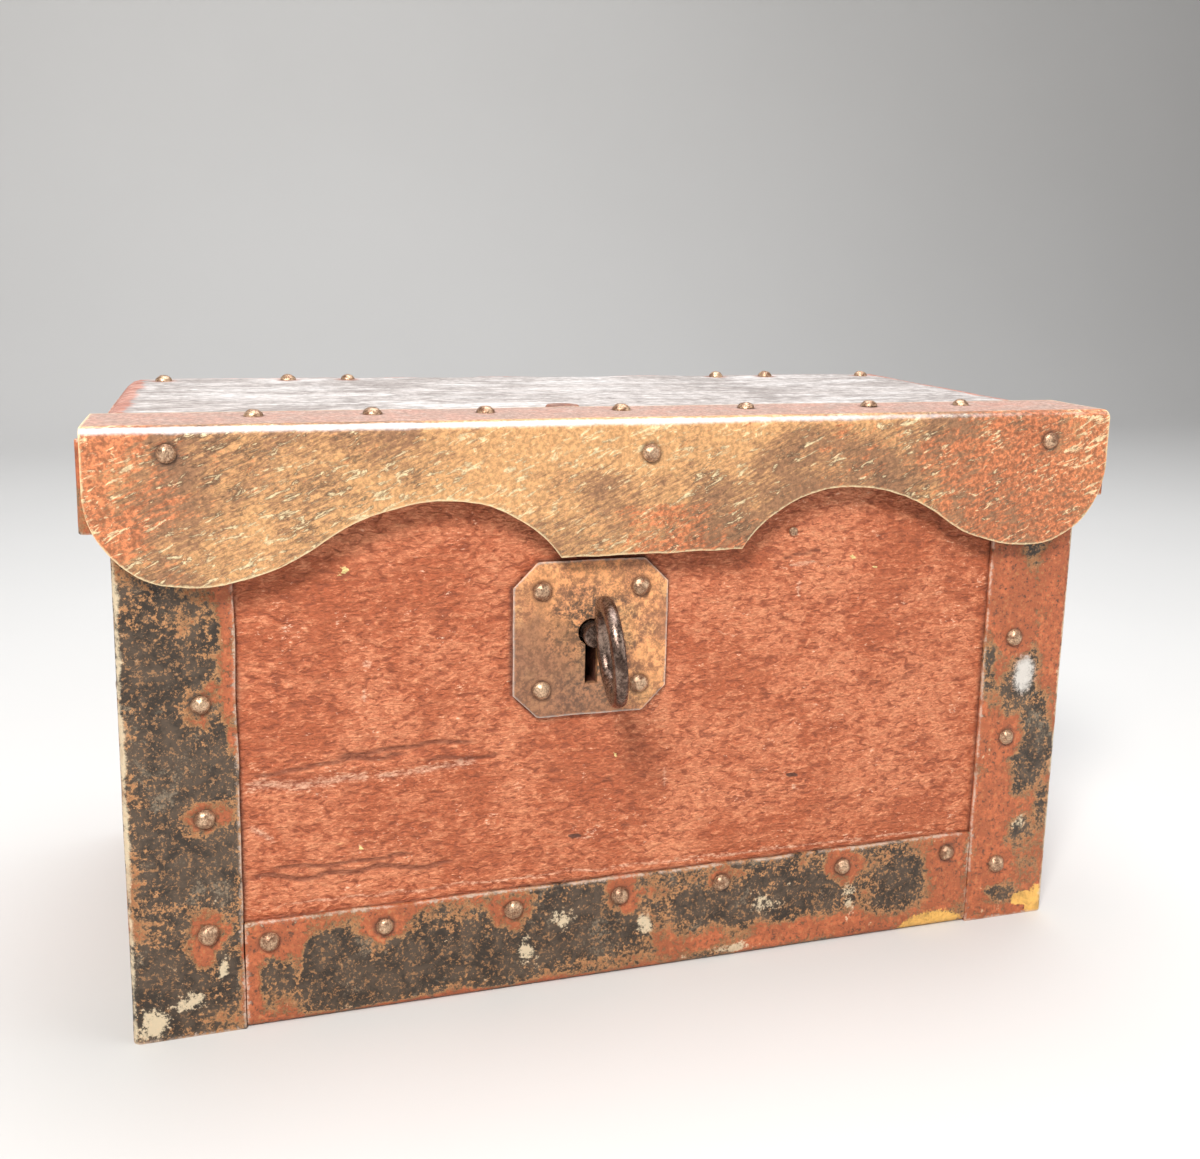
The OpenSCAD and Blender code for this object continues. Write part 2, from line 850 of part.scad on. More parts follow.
// Clenched through the lid: a wide flat head on top and a small one below.
module staple_rivet(hole = false) {
    low = lid_z - staple_plate_t;
    color(NAIL) translate([lock_x, rivet_y, 0]) {
        translate([0, 0, low - (hole ? PROUD : 0)])
            cylinder(r = 2, h = lid_top - low + (hole ? 2 * PROUD : 0));
        if (!hole) {
            translate([0, 0, lid_top]) cylinder(r1 = 5.6, r2 = 5, h = 0.8);
            translate([0, 0, low - 1.2]) cylinder(r = 3.6, h = 1.2);
        }
    }
}

// ---------- the parts ----------

front_board();
back_board();
left_board();
right_board();
bottom_board();
corner_iron_front_left();
corner_iron_front_right();
corner_iron_back_left();
corner_iron_back_right();
base_iron_front();
base_iron_back();
base_iron_left();
base_iron_right();
front_nails();
back_nails();
left_nails();
right_nails();
panel_nail();
lock_plate();
lock_plate_nails();
lock_case();
lock_case_nails();
bolt_guides();
bolt_spring();
ward_ring();
hinge_leaf_lower_left();
hinge_leaf_lower_right();
hinge_pin_left();
hinge_pin_right();
hinge_lower_nails();
lid_board();
lid_apron();
lid_side_iron_left();
lid_side_iron_right();
apron_face_nails();
apron_top_nails();
lid_side_nails();
lid_corner_nails();
hinge_leaf_upper_left();
hinge_leaf_upper_right();
hinge_upper_nails();
staple_plate();
staple_loop();
staple_rivet();
lock_bolt();
bolt_tongue();
drill_pin();
key_stem();
key_bit();
key_bow();
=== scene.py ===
"""Builds the finished look of an iron-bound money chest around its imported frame.

Every position comes from the frame's own pieces, in metres. Sheet irons are laid from flat
grids, boards are carved from blocks, and nails, key and lock plate are shaped from primitives.
"""

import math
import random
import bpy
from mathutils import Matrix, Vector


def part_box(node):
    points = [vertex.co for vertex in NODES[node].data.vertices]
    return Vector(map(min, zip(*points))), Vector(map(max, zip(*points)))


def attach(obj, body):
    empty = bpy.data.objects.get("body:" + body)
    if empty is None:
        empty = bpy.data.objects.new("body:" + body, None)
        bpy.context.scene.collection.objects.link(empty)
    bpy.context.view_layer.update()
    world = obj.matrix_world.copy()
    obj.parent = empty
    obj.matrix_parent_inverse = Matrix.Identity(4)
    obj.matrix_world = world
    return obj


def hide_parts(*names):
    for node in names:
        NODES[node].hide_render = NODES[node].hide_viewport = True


bl_info = {
    "name": "Iron-Bound Money Chest",
    "version": (1, 0, 0),
    "blender": (4, 5, 0),
    "location": "3D View > Sidebar > Money Chest",
    "description": "Worn painted boards, nailed sheet irons, lock plate and key of a money chest",
    "category": "Add Mesh",
}

import bmesh
import bpy
from bpy.props import FloatProperty, FloatVectorProperty, IntProperty, PointerProperty
from mathutils import Euler, Matrix, Vector, kdtree, noise

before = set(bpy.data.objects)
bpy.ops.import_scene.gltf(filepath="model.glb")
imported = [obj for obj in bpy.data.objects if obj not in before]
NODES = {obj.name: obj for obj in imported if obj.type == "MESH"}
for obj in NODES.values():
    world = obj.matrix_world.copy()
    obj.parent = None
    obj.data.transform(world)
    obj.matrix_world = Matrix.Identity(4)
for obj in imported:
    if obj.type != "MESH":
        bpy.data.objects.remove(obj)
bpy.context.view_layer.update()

MM = 0.001
PLATE_CLIP = 7.5 * MM
LOBE_RADIUS = 26.5 * MM
TONGUE_END = 28 * MM
FAR = Vector((9, 9, 9))
X = Vector((1, 0, 0))
Y = Vector((0, 1, 0))
Z = Vector((0, 0, 1))
FRONT = -Y
BACK = Y
LEFT = -X
RIGHT = X
UP = Z


# ---------- choosing and shaping ----------


def deselect():
    """Leave edit mode and clear the selection, so that an operator acts on the new piece only."""
    if bpy.context.object and bpy.context.object.mode != "OBJECT":
        bpy.ops.object.mode_set(mode="OBJECT")
    bpy.ops.object.select_all(action="DESELECT")


def activate(obj):
    """Select one object and make it the active one."""
    deselect()
    obj.select_set(True)
    bpy.context.view_layer.objects.active = obj


def edit(obj, kind="FACE"):
    """Enter edit mode on one object, with nothing selected."""
    activate(obj)
    bpy.ops.object.mode_set(mode="EDIT")
    bpy.ops.mesh.select_mode(type=kind)
    bpy.ops.mesh.select_all(action="DESELECT")


def done():
    """Leave edit mode."""
    bpy.ops.object.mode_set(mode="OBJECT")


def pick_faces(obj, test):
    """Select the faces that pass a test, in edit mode."""
    mesh = bmesh.from_edit_mesh(obj.data)
    for face in mesh.faces:
        face.select_set(test(face))
    mesh.select_flush_mode()
    bmesh.update_edit_mesh(obj.data)


def pick_edges(obj, test):
    """Select the edges that pass a test, in edit mode."""
    mesh = bmesh.from_edit_mesh(obj.data)
    for edge in mesh.edges:
        edge.select_set(test(edge))
    mesh.select_flush_mode()
    bmesh.update_edit_mesh(obj.data)


def facing(direction, share=0.95):
    """A test for faces that look along a direction."""
    return lambda face: face.normal.dot(direction) > share


def along(direction, shortest=0.0):
    """A test for edges that run along a direction."""

    def test(edge):
        run = edge.verts[1].co - edge.verts[0].co
        return run.length > shortest and abs(run.normalized().dot(direction)) > 0.98

    return test


def settle(obj, name):
    """Name a new piece and put its place in its mesh."""
    obj.name = name
    obj.data.name = name
    activate(obj)
    bpy.ops.object.transform_apply(location=True, rotation=True, scale=True)
    return obj


def finish_modifier(obj, kind, **settings):
    """Add a modifier with these settings and apply it."""
    modifier = obj.modifiers.new(kind.title(), kind)
    for key, value in settings.items():
        setattr(modifier, key, value)
    activate(obj)
    bpy.ops.object.modifier_apply(modifier=modifier.name)


def close_up(obj):
    """Merge doubles and turn every face outwards."""
    edit(obj, "VERT")
    bpy.ops.mesh.select_all(action="SELECT")
    bpy.ops.mesh.remove_doubles(threshold=0.00001)
    bpy.ops.mesh.normals_make_consistent(inside=False)
    done()


def smooth(obj, angle=35):
    """Shade smooth below an angle, given in degrees."""
    activate(obj)
    bpy.ops.object.shade_smooth_by_angle(angle=math.radians(angle))


def join(pieces, name):
    """Join pieces into one object."""
    deselect()
    for piece in pieces:
        piece.select_set(True)
    bpy.context.view_layer.objects.active = pieces[0]
    if len(pieces) > 1:
        bpy.ops.object.join()
    pieces[0].name = name
    pieces[0].data.name = name
    return pieces[0]


def block(name, low, high):
    """A block between two corners."""
    deselect()
    low, high = Vector(low), Vector(high)
    bpy.ops.mesh.primitive_cube_add(size=1, location=(low + high) / 2, scale=high - low)
    return settle(bpy.context.object, name)


def twin(obj):
    """A copy of an object with a mesh of its own, in the scene."""
    copy = obj.copy()
    copy.data = obj.data.copy()
    bpy.context.scene.collection.objects.link(copy)
    return copy


def eased(obj, width, angle):
    """Bevel the edges that are sharper than an angle, given in degrees."""
    finish_modifier(obj, "BEVEL", width=width, segments=2, limit_method="ANGLE",
                    angle_limit=math.radians(angle))


def softened(name, node, width):
    """A copy of a drawn node with its doubles and flat faces merged and its edges eased."""
    obj = twin(NODES[node])
    obj.parent = None
    for key in list(obj.keys()):
        del obj[key]
    join([obj], name)
    close_up(obj)
    edit(obj, "VERT")
    bpy.ops.mesh.select_all(action="SELECT")
    bpy.ops.mesh.dissolve_limited(angle_limit=0.01)
    done()
    eased(obj, width, 40)
    smooth(obj)
    return obj


def wavy(point, scale, seed=0.0):
    """Smooth noise in -1 to 1 at a point, with features about 1/scale metres across."""
    return noise.noise(Vector(point) * scale + Vector((seed, seed * 0.7, -seed)))


# ---------- distances that the wear follows ----------


def nail_places(*nodes):
    """The middle of each nail in the drawn nail nodes."""
    places = []
    for node in nodes:
        mesh = bmesh.new()
        mesh.from_mesh(NODES[node].data)
        bmesh.ops.remove_doubles(mesh, verts=mesh.verts, dist=0.00001)
        left = set(mesh.verts)
        while left:
            start = left.pop()
            island, queue = [start], [start]
            while queue:
                for edge in queue.pop().link_edges:
                    for vert in edge.verts:
                        if vert in left:
                            left.remove(vert)
                            island.append(vert)
                            queue.append(vert)
            low = Vector([min(v.co[i] for v in island) for i in range(3)])
            high = Vector([max(v.co[i] for v in island) for i in range(3)])
            places.append((low, high))
        mesh.free()
    return places


def head_places(direction, *nodes):
    """Where each nail head sits on its sheet: the point under the head's crown."""
    height = bpy.context.scene.chest_sizes.head_height
    spots = []
    for low, high in nail_places(*nodes):
        middle = (low + high) / 2
        reach = abs((high - low).dot(direction)) / 2
        spots.append(middle + direction * (reach - height))
    return spots


def tree_of(points):
    """A search tree of points."""
    tree = kdtree.KDTree(max(len(points), 1))
    for index, point in enumerate(points or [FAR]):
        tree.insert(point, index)
    tree.balance()
    return tree


def mark(obj, name, value_at):
    """Store a number for each point of the mesh, for the materials to read."""
    mesh = obj.data
    layer = mesh.attributes.get(name) or mesh.attributes.new(name, "FLOAT", "POINT")
    layer.data.foreach_set("value", [value_at(v.co) for v in mesh.vertices])


def mark_wear(obj, rim_points, nail_points):
    """Store each point's distance, in millimetres, to the sheet's rim and to the nearest nail."""
    rim, nails = tree_of(rim_points), tree_of(nail_points)
    mark(obj, "rim", lambda co: min(rim.find(co)[2] / MM, 50))
    mark(obj, "nail", lambda co: min(nails.find(co)[2] / MM, 50))


# ---------- sheet iron ----------


def turn_points(corner, radius, start, end, steps):
    """Points round a bend: centre, radius and the two angles in degrees, start to end."""
    return [
        corner + radius * Vector((math.cos(math.radians(a)), math.sin(math.radians(a))))
        for a in (start + (end - start) * i / steps for i in range(steps + 1))
    ]


def stretch(start, end, step):
    """Points from start up to, and without, end, about a step apart."""
    count = max(1, round((end - start).length / step))
    return [start.lerp(end, i / count) for i in range(count)]


def laid_sheet(name, columns, rows, place, outward, thickness, bevel=0.3 * MM):
    """A flat grid laid in place point by point, then given its thickness and an eased rim.

    place(i, j) is where the grid's point in column i and row j goes, on the sheet's outer face.
    outward(point) is roughly the outer face's direction there.
    """
    deselect()
    bpy.ops.mesh.primitive_grid_add(x_subdivisions=columns - 1, y_subdivisions=rows - 1, size=1)
    obj = bpy.context.object
    obj.name = name
    obj.data.name = name
    for vert in obj.data.vertices:
        column = round((vert.co.x + 0.5) * (columns - 1))
        row = round((vert.co.y + 0.5) * (rows - 1))
        vert.co = place(column, row)
    obj.data.update()
    middle = obj.data.polygons[len(obj.data.polygons) // 2]
    if middle.normal.dot(outward(middle.center)) < 0:
        edit(obj)
        bpy.ops.mesh.select_all(action="SELECT")
        bpy.ops.mesh.flip_normals()
        done()
    mesh = bmesh.new()
    mesh.from_mesh(obj.data)
    rim = [v.co.copy() for v in mesh.verts if v.is_boundary]
    mesh.free()
    finish_modifier(obj, "SOLIDIFY", thickness=thickness, offset=-1, use_even_offset=True)
    finish_modifier(obj, "BEVEL", width=bevel, segments=2, limit_method="ANGLE",
                    angle_limit=math.radians(60), use_clamp_overlap=True)
    smooth(obj, 40)
    return obj, rim


def dented(point, direction, nails, seed, amount=1.0):
    """Moves a point of a sheet in and out: slow waves, hammer dents and a dimple at each nail."""
    slow = 0.28 * wavy(point, 22, seed) + 0.14 * wavy(point, 70, seed + 3)
    fine = 0.045 * wavy(point, 240, seed + 5)
    distance = nails.find(point)[2] / MM
    dimple = -0.32 * math.exp(-((distance / 4.2) ** 2))
    return point + direction * (amount * (slow + fine) + dimple) * MM


# ---------- nails ----------


def forged_nail(name, seed):
    """A hand-forged nail at the origin: a facetted dome on a round shank, pointing up."""
    sizes = bpy.context.scene.chest_sizes
    radius, height = sizes.head_radius, sizes.head_height
    deselect()
    bpy.ops.mesh.primitive_uv_sphere_add(segments=24, ring_count=14, radius=radius)
    obj = bpy.context.object
    edit(obj)
    bpy.ops.mesh.select_all(action="SELECT")
    bpy.ops.mesh.bisect(plane_co=(0, 0, 0), plane_no=(0, 0, 1), use_fill=True, clear_inner=True)
    bpy.ops.mesh.select_all(action="SELECT")
    bpy.ops.transform.resize(value=(1, 1, height / radius), center_override=(0, 0, 0))
    bpy.ops.mesh.select_all(action="DESELECT")
    pick_faces(obj, facing(-Z, 0.9))
    bpy.ops.mesh.inset(thickness=radius * 0.6)
    bpy.ops.mesh.extrude_region_move(TRANSFORM_OT_translate={"value": (0, 0, -8 * MM)})
    done()
    rng = random.Random(seed)
    blows = []
    for index in range(8):
        turn = math.tau * (index + rng.uniform(-0.3, 0.3)) / 7
        lean = math.radians(rng.uniform(32, 62)) if index < 7 else math.radians(6)
        direction = Vector((math.cos(turn) * math.sin(lean), math.sin(turn) * math.sin(lean),
                            math.cos(lean)))
        reach = Vector((direction.x * radius, direction.y * radius, direction.z * height)).length
        blows.append((direction, reach * rng.uniform(0.86, 0.97)))
    for vert in obj.data.vertices:
        if vert.co.z < -0.1 * MM:
            continue
        for direction, reach in blows:
            over = vert.co.dot(direction) - reach
            if over > 0:
                vert.co -= direction * over * 0.85
        if vert.co.z > 0.05 * MM:
            vert.co += vert.co.normalized() * 0.05 * MM * wavy(vert.co, 900, seed)
        else:
            vert.co.z = 0
    obj.name = name
    smooth(obj, 50)
    return obj


def drive_nails(name, direction, node, seed):
    """Nails copied to every head's place, each turned and tapped a little differently."""
    sink = 0.15 * MM
    pattern = forged_nail(name + "_pattern", seed)
    rng = random.Random(seed * 31 + 7)
    stand = Z.rotation_difference(direction).to_matrix().to_4x4()
    copies = []
    for spot in head_places(direction, node):
        size = Matrix.Scale(rng.uniform(0.9, 1.06), 4)
        tilt = Matrix.Rotation(math.radians(rng.uniform(-5, 5)), 4, "X")
        spin = Matrix.Rotation(rng.uniform(0, math.tau), 4, "Z")
        copies.append(twin(pattern))
        place = Matrix.Translation(spot - direction * sink)
        copies[-1].data.transform(place @ stand @ tilt @ spin @ size)
    bpy.data.objects.remove(pattern)
    return join(copies, name)


# ---------- materials ----------


class Palette:
    """Lays out the nodes of a material or a node group, one call a node."""

    def __init__(self, tree):
        self.tree = tree

    def node(self, kind, inputs=None, **settings):
        """One node, with its settings, its values and its links."""
        made = self.tree.nodes.new(kind)
        for key, value in settings.items():
            setattr(made, key, value)
        for key, value in (inputs or {}).items():
            if isinstance(value, bpy.types.NodeSocket):
                self.tree.links.new(value, made.inputs[key])
            else:
                made.inputs[key].default_value = value
        return made

    def coords(self):
        """The piece's own coordinates, in metres."""
        return self.node("ShaderNodeTexCoord").outputs["Object"]

    def mapped(self, vector, scale=(1, 1, 1), turn=(0, 0, 0), move=(0, 0, 0)):
        """Coordinates moved, turned (in degrees) and stretched."""
        turn = [math.radians(a) for a in turn]
        made = self.node("ShaderNodeMapping", {"Vector": vector, "Scale": scale, "Rotation": turn,
                                               "Location": move})
        return made.outputs["Vector"]

    def noise(self, vector, scale, detail=4.0, rough=0.55, bend=0.0):
        """Fractal noise from 0 to 1."""
        made = self.node("ShaderNodeTexNoise", {"Vector": vector, "Scale": scale, "Detail": detail,
                                                "Roughness": rough, "Distortion": bend})
        return made.outputs["Fac"]

    def stored(self, name):
        """A number stored on the mesh."""
        return self.node("ShaderNodeAttribute", attribute_name=name).outputs["Fac"]

    def math(self, operation, a, b, c=0.0, clamp=False):
        """One sum."""
        made = self.node("ShaderNodeMath", {0: a, 1: b, 2: c}, operation=operation, use_clamp=clamp)
        return made.outputs[0]

    def add(self, a, b, clamp=False):
        """Two values added."""
        return self.math("ADD", a, b, clamp=clamp)

    def take(self, a, b):
        """The second value taken from the first."""
        return self.math("SUBTRACT", a, b)

    def times(self, a, b):
        """Two values multiplied."""
        return self.math("MULTIPLY", a, b)

    def centred(self, value, width):
        """A value from 0 to 1 spread evenly about zero, this wide in all."""
        return self.math("MULTIPLY_ADD", value, width, -width / 2)

    def fade(self, value, low, high, start=0.0, end=1.0):
        """A smooth step: start below low, end above high."""
        made = self.node("ShaderNodeMapRange", {"Value": value, "From Min": low, "From Max": high,
                                                "To Min": start, "To Max": end},
                         interpolation_type="SMOOTHSTEP")
        return made.outputs["Result"]

    def mix(self, share, a, b):
        """Two colours mixed."""
        return self.node("ShaderNodeMix", {0: share, 6: a, 7: b}, data_type="RGBA").outputs[2]

    def tone(self, colour, value, low, high):
        """A colour made darker or lighter by a value from 0 to 1."""
        grey = self.fade(value, 0.38, 0.62, low, high)
        colour = colour if isinstance(colour, bpy.types.NodeSocket) else colour[:3]
        made = self.node("ShaderNodeVectorMath", {0: colour, "Scale": grey}, operation="SCALE")
        return made.outputs["Vector"]

    def bump(self, height, strength, distance):
        """A Bump node on a height."""
        inputs = {"Height": height, "Strength": strength, "Distance": distance}
        return self.node("ShaderNodeBump", inputs).outputs["Normal"]

    def group(self, tree, inputs):
        """A node group placed with its own values."""
        return self.node("ShaderNodeGroup", inputs, node_tree=tree)


def new_group(name, inputs, outputs):
    """An empty node group with these sockets. Returns its palette, its inputs and its output node."""
    tree = bpy.data.node_groups.new(name, "ShaderNodeTree")
    kinds = {"value": "NodeSocketFloat", "colour": "NodeSocketColor", "vector": "NodeSocketVector"}
    for label, kind in inputs:
        tree.interface.new_socket(name=label, in_out="INPUT", socket_type=kinds[kind])
    for label, kind in outputs:
        tree.interface.new_socket(name=label, in_out="OUTPUT", socket_type=kinds[kind])
    palette = Palette(tree)
    start = palette.node("NodeGroupInput")
    end = palette.node("NodeGroupOutput")
    return palette, start.outputs, end


def finish_group(palette, end, results):
    """Link a group's results to its output node."""
    for label, socket in results.items():
        palette.tree.links.new(socket, end.inputs[label])
    return palette.tree


def rgba(colour):
    """A colour property as four numbers."""
    return (*colour, 1.0)


def patchy_iron():
    """Group: old sheet iron, red where paint is left, golden where it thins, dark where it is gone.

    It reads the distances and marks stored on the mesh: rim, nail, red, dark, cream, chip,
    worn and handled.
    """
    p, given, end = new_group(
        "Patchy Iron",
        [("Vector", "vector"), ("Bare", "colour"), ("Paint", "colour"), ("Rubbed", "colour"),
         ("Pale", "colour"), ("Edge", "colour"), ("Chip", "colour"), ("Paint Share", "value")],
        [("Color", "colour"), ("Roughness", "value"), ("Height", "value")],
    )
    at = given["Vector"]
    speck = p.noise(at, 1500, 4, 0.72)
    grit = p.noise(at, 560, 6, 0.72)
    cloud = p.noise(at, 170, 5, 0.66, 0.4)
    crumble = p.add(p.centred(grit, 0.60), p.centred(speck, 0.44))

    # how much paint is left: broad patches, halos round the nails, and the stored marks
    ragged = p.add(p.stored("nail"), p.centred(cloud, 13))
    halo = p.times(p.fade(ragged, 3.5, 9.5, 1, 0), 0.25)
    level = p.add(p.noise(at, 46, 5, 0.6, 0.6), crumble)
    level = p.add(level, halo)
    level = p.add(level, p.times(p.stored("red"), 0.30))
    level = p.take(level, p.times(p.stored("dark"), 0.30))
    level = p.add(level, p.take(given["Paint Share"], 1.0))
    thin = p.times(p.fade(level, -0.12, 0.0), 0.85)
    full = p.fade(level, -0.02, 0.07)

    bare = p.tone(given["Bare"], cloud, 0.55, 1.5)
    scuff = p.add(p.noise(p.mapped(at, move=(1, 2, 3)), 64, 6, 0.74, 0.5), p.centred(speck, 0.5))
    bare = p.mix(p.times(p.fade(scuff, 0.56, 0.72), 0.55), bare, (0.36, 0.29, 0.20, 1))
    bare = p.mix(p.times(p.fade(crumble, 0.02, 0.08), 0.6), bare, given["Rubbed"])
    red = p.mix(p.fade(cloud, 0.42, 0.60), given["Paint"], p.tone(given["Paint"], grit, 1.0, 1.5))
    red = p.mix(p.times(p.fade(crumble, -0.03, -0.09), 0.75), red, given["Bare"])
    red = p.mix(p.times(p.fade(crumble, 0.04, 0.10), 0.6), red, given["Rubbed"])
    colour = p.mix(thin, bare, p.tone(given["Rubbed"], grit, 0.7, 1.3))
    colour = p.mix(full, colour, red)

    # cream blooms, one yellowed chip, one place rubbed to grey metal
    bloom = p.add(p.noise(p.mapped(at, move=(3, 1, 2)), 105, 5, 0.68, 0.6), crumble)
    cream = p.add(p.times(p.stored("cream"), 0.32), bloom)
    colour = p.mix(p.times(p.fade(cream, 0.70, 0.82), 0.85), colour, given["Pale"])
    worn = p.add(p.stored("worn"), p.times(crumble, 1.6))
    colour = p.mix(p.fade(worn, 0.40, 0.85), colour, (0.66, 0.62, 0.57, 1))
    chip = p.add(p.stored("chip"), p.times(crumble, 1.2))
    colour = p.mix(p.fade(chip, 0.45, 0.55), colour, p.tone(given["Chip"], cloud, 0.8, 1.2))

    # rims bright, partly rubbed wear and partly a painted highlight where the edges catch the light; pale
    # where handled; and a dark ring round each head, painted shade with dirt
    rim = p.fade(p.add(p.stored("rim"), p.times(crumble, 6)), 0.1, 1, 1, 0)
    rim = p.times(rim, p.fade(cloud, 0.36, 0.56))
    colour = p.mix(p.times(rim, 0.75), colour, given["Edge"])
    handled = p.add(p.stored("handled"), p.add(crumble, p.centred(cloud, 1.3)))
    colour = p.mix(p.times(p.fade(handled, 0.45, 0.8), 0.85), colour, given["Pale"])
    dirt_and_shade = p.times(p.fade(p.stored("nail"), 2.5, 4.3, 1, 0), 0.7)
    colour = p.mix(dirt_and_shade, colour, (0.06, 0.036, 0.026, 1))

    rough = p.add(0.42, p.times(full, 0.18))
    rough = p.add(rough, p.centred(grit, 0.4), clamp=True)
    height = p.add(p.times(full, 0.5), p.times(grit, 0.9))
    height = p.add(height, p.times(speck, 0.3))
    return finish_group(p, end, {"Color": colour, "Roughness": rough, "Height": height})


def wood_grain():
    """Group: grain that runs along X, with pores and drawn-out streaks."""
    p, given, end = new_group("Wood Grain", [("Vector", "vector")],
                              [("Streak", "value"), ("Pore", "value"), ("Height", "value")])
    long = p.mapped(given["Vector"], scale=(0.045, 1, 1))
    streak = p.noise(long, 420, 6, 0.62, 0.35)
    pores = p.noise(p.mapped(given["Vector"], scale=(0.11, 1, 1)), 1500, 3, 0.6)
    pore = p.fade(pores, 0.60, 0.70)
    height = p.take(p.times(streak, 0.8), p.times(pore, 0.5))
    return finish_group(p, end, {"Streak": streak, "Pore": pore, "Height": height})


def paint_film():
    """Group: thick old paint, wrinkled like orange peel, with its pits and its rubbed high spots."""
    p, given, end = new_group("Paint Film", [("Vector", "vector")],
                              [("Mottle", "value"), ("Peel", "value"), ("Fibre", "value"),
                               ("Height", "value")])
    at = given["Vector"]
    mottle = p.noise(at, 34, 6, 0.66, 0.4)
    peel = p.noise(p.mapped(at, scale=(0.5, 1, 1)), 620, 4, 0.58, 0.7)
    fibre = p.noise(p.mapped(at, scale=(0.4, 1, 1)), 1700, 5, 0.68, 0.5)
    height = p.add(peel, p.times(fibre, 0.35))
    return finish_group(p, end, {"Mottle": mottle, "Peel": peel, "Fibre": fibre, "Height": height})


def new_material(name):
    """A material with a Principled shader. Returns its palette and the shader."""
    material = bpy.data.materials.new(name)
    material.use_nodes = True
    tree = material.node_tree
    tree.nodes.clear()
    palette = Palette(tree)
    shader = palette.node("ShaderNodeBsdfPrincipled")
    output = palette.node("ShaderNodeOutputMaterial")
    tree.links.new(shader.outputs["BSDF"], output.inputs["Surface"])
    return material, palette, shader


def feed(palette, shader, **sockets):
    """Link varying values to the shader's sockets, named with underscores for spaces."""
    for key, socket in sockets.items():
        palette.tree.links.new(socket, shader.inputs[key.replace("_", " ")])


GROUPS = {}


def shared(name):
    """A shared node group, made the first time that it is asked for."""
    makers = {"iron": patchy_iron, "grain": wood_grain, "film": paint_film}
    if name not in GROUPS:
        GROUPS[name] = makers[name]()
    return GROUPS[name]


def iron_material(name, paint_share):
    """Old sheet iron in one of its states of wear."""
    c = bpy.context.scene.chest_colours
    material, p, shader = new_material(name)
    skin = p.group(shared("iron"), {
        "Vector": p.coords(), "Bare": rgba(c.dark_iron), "Paint": rgba(c.red_lead),
        "Rubbed": rgba(c.rubbed_iron), "Pale": rgba(c.pale_bloom), "Edge": rgba(c.rim_wear_and_highlight),
        "Chip": rgba(c.chip_yellow), "Paint Share": paint_share,
    })
    shader.inputs["Metallic"].default_value = 0.1
    feed(p, shader, Base_Color=skin.outputs["Color"], Roughness=skin.outputs["Roughness"],
         Normal=p.bump(skin.outputs["Height"], 0.8, 0.4 * MM))
    return material


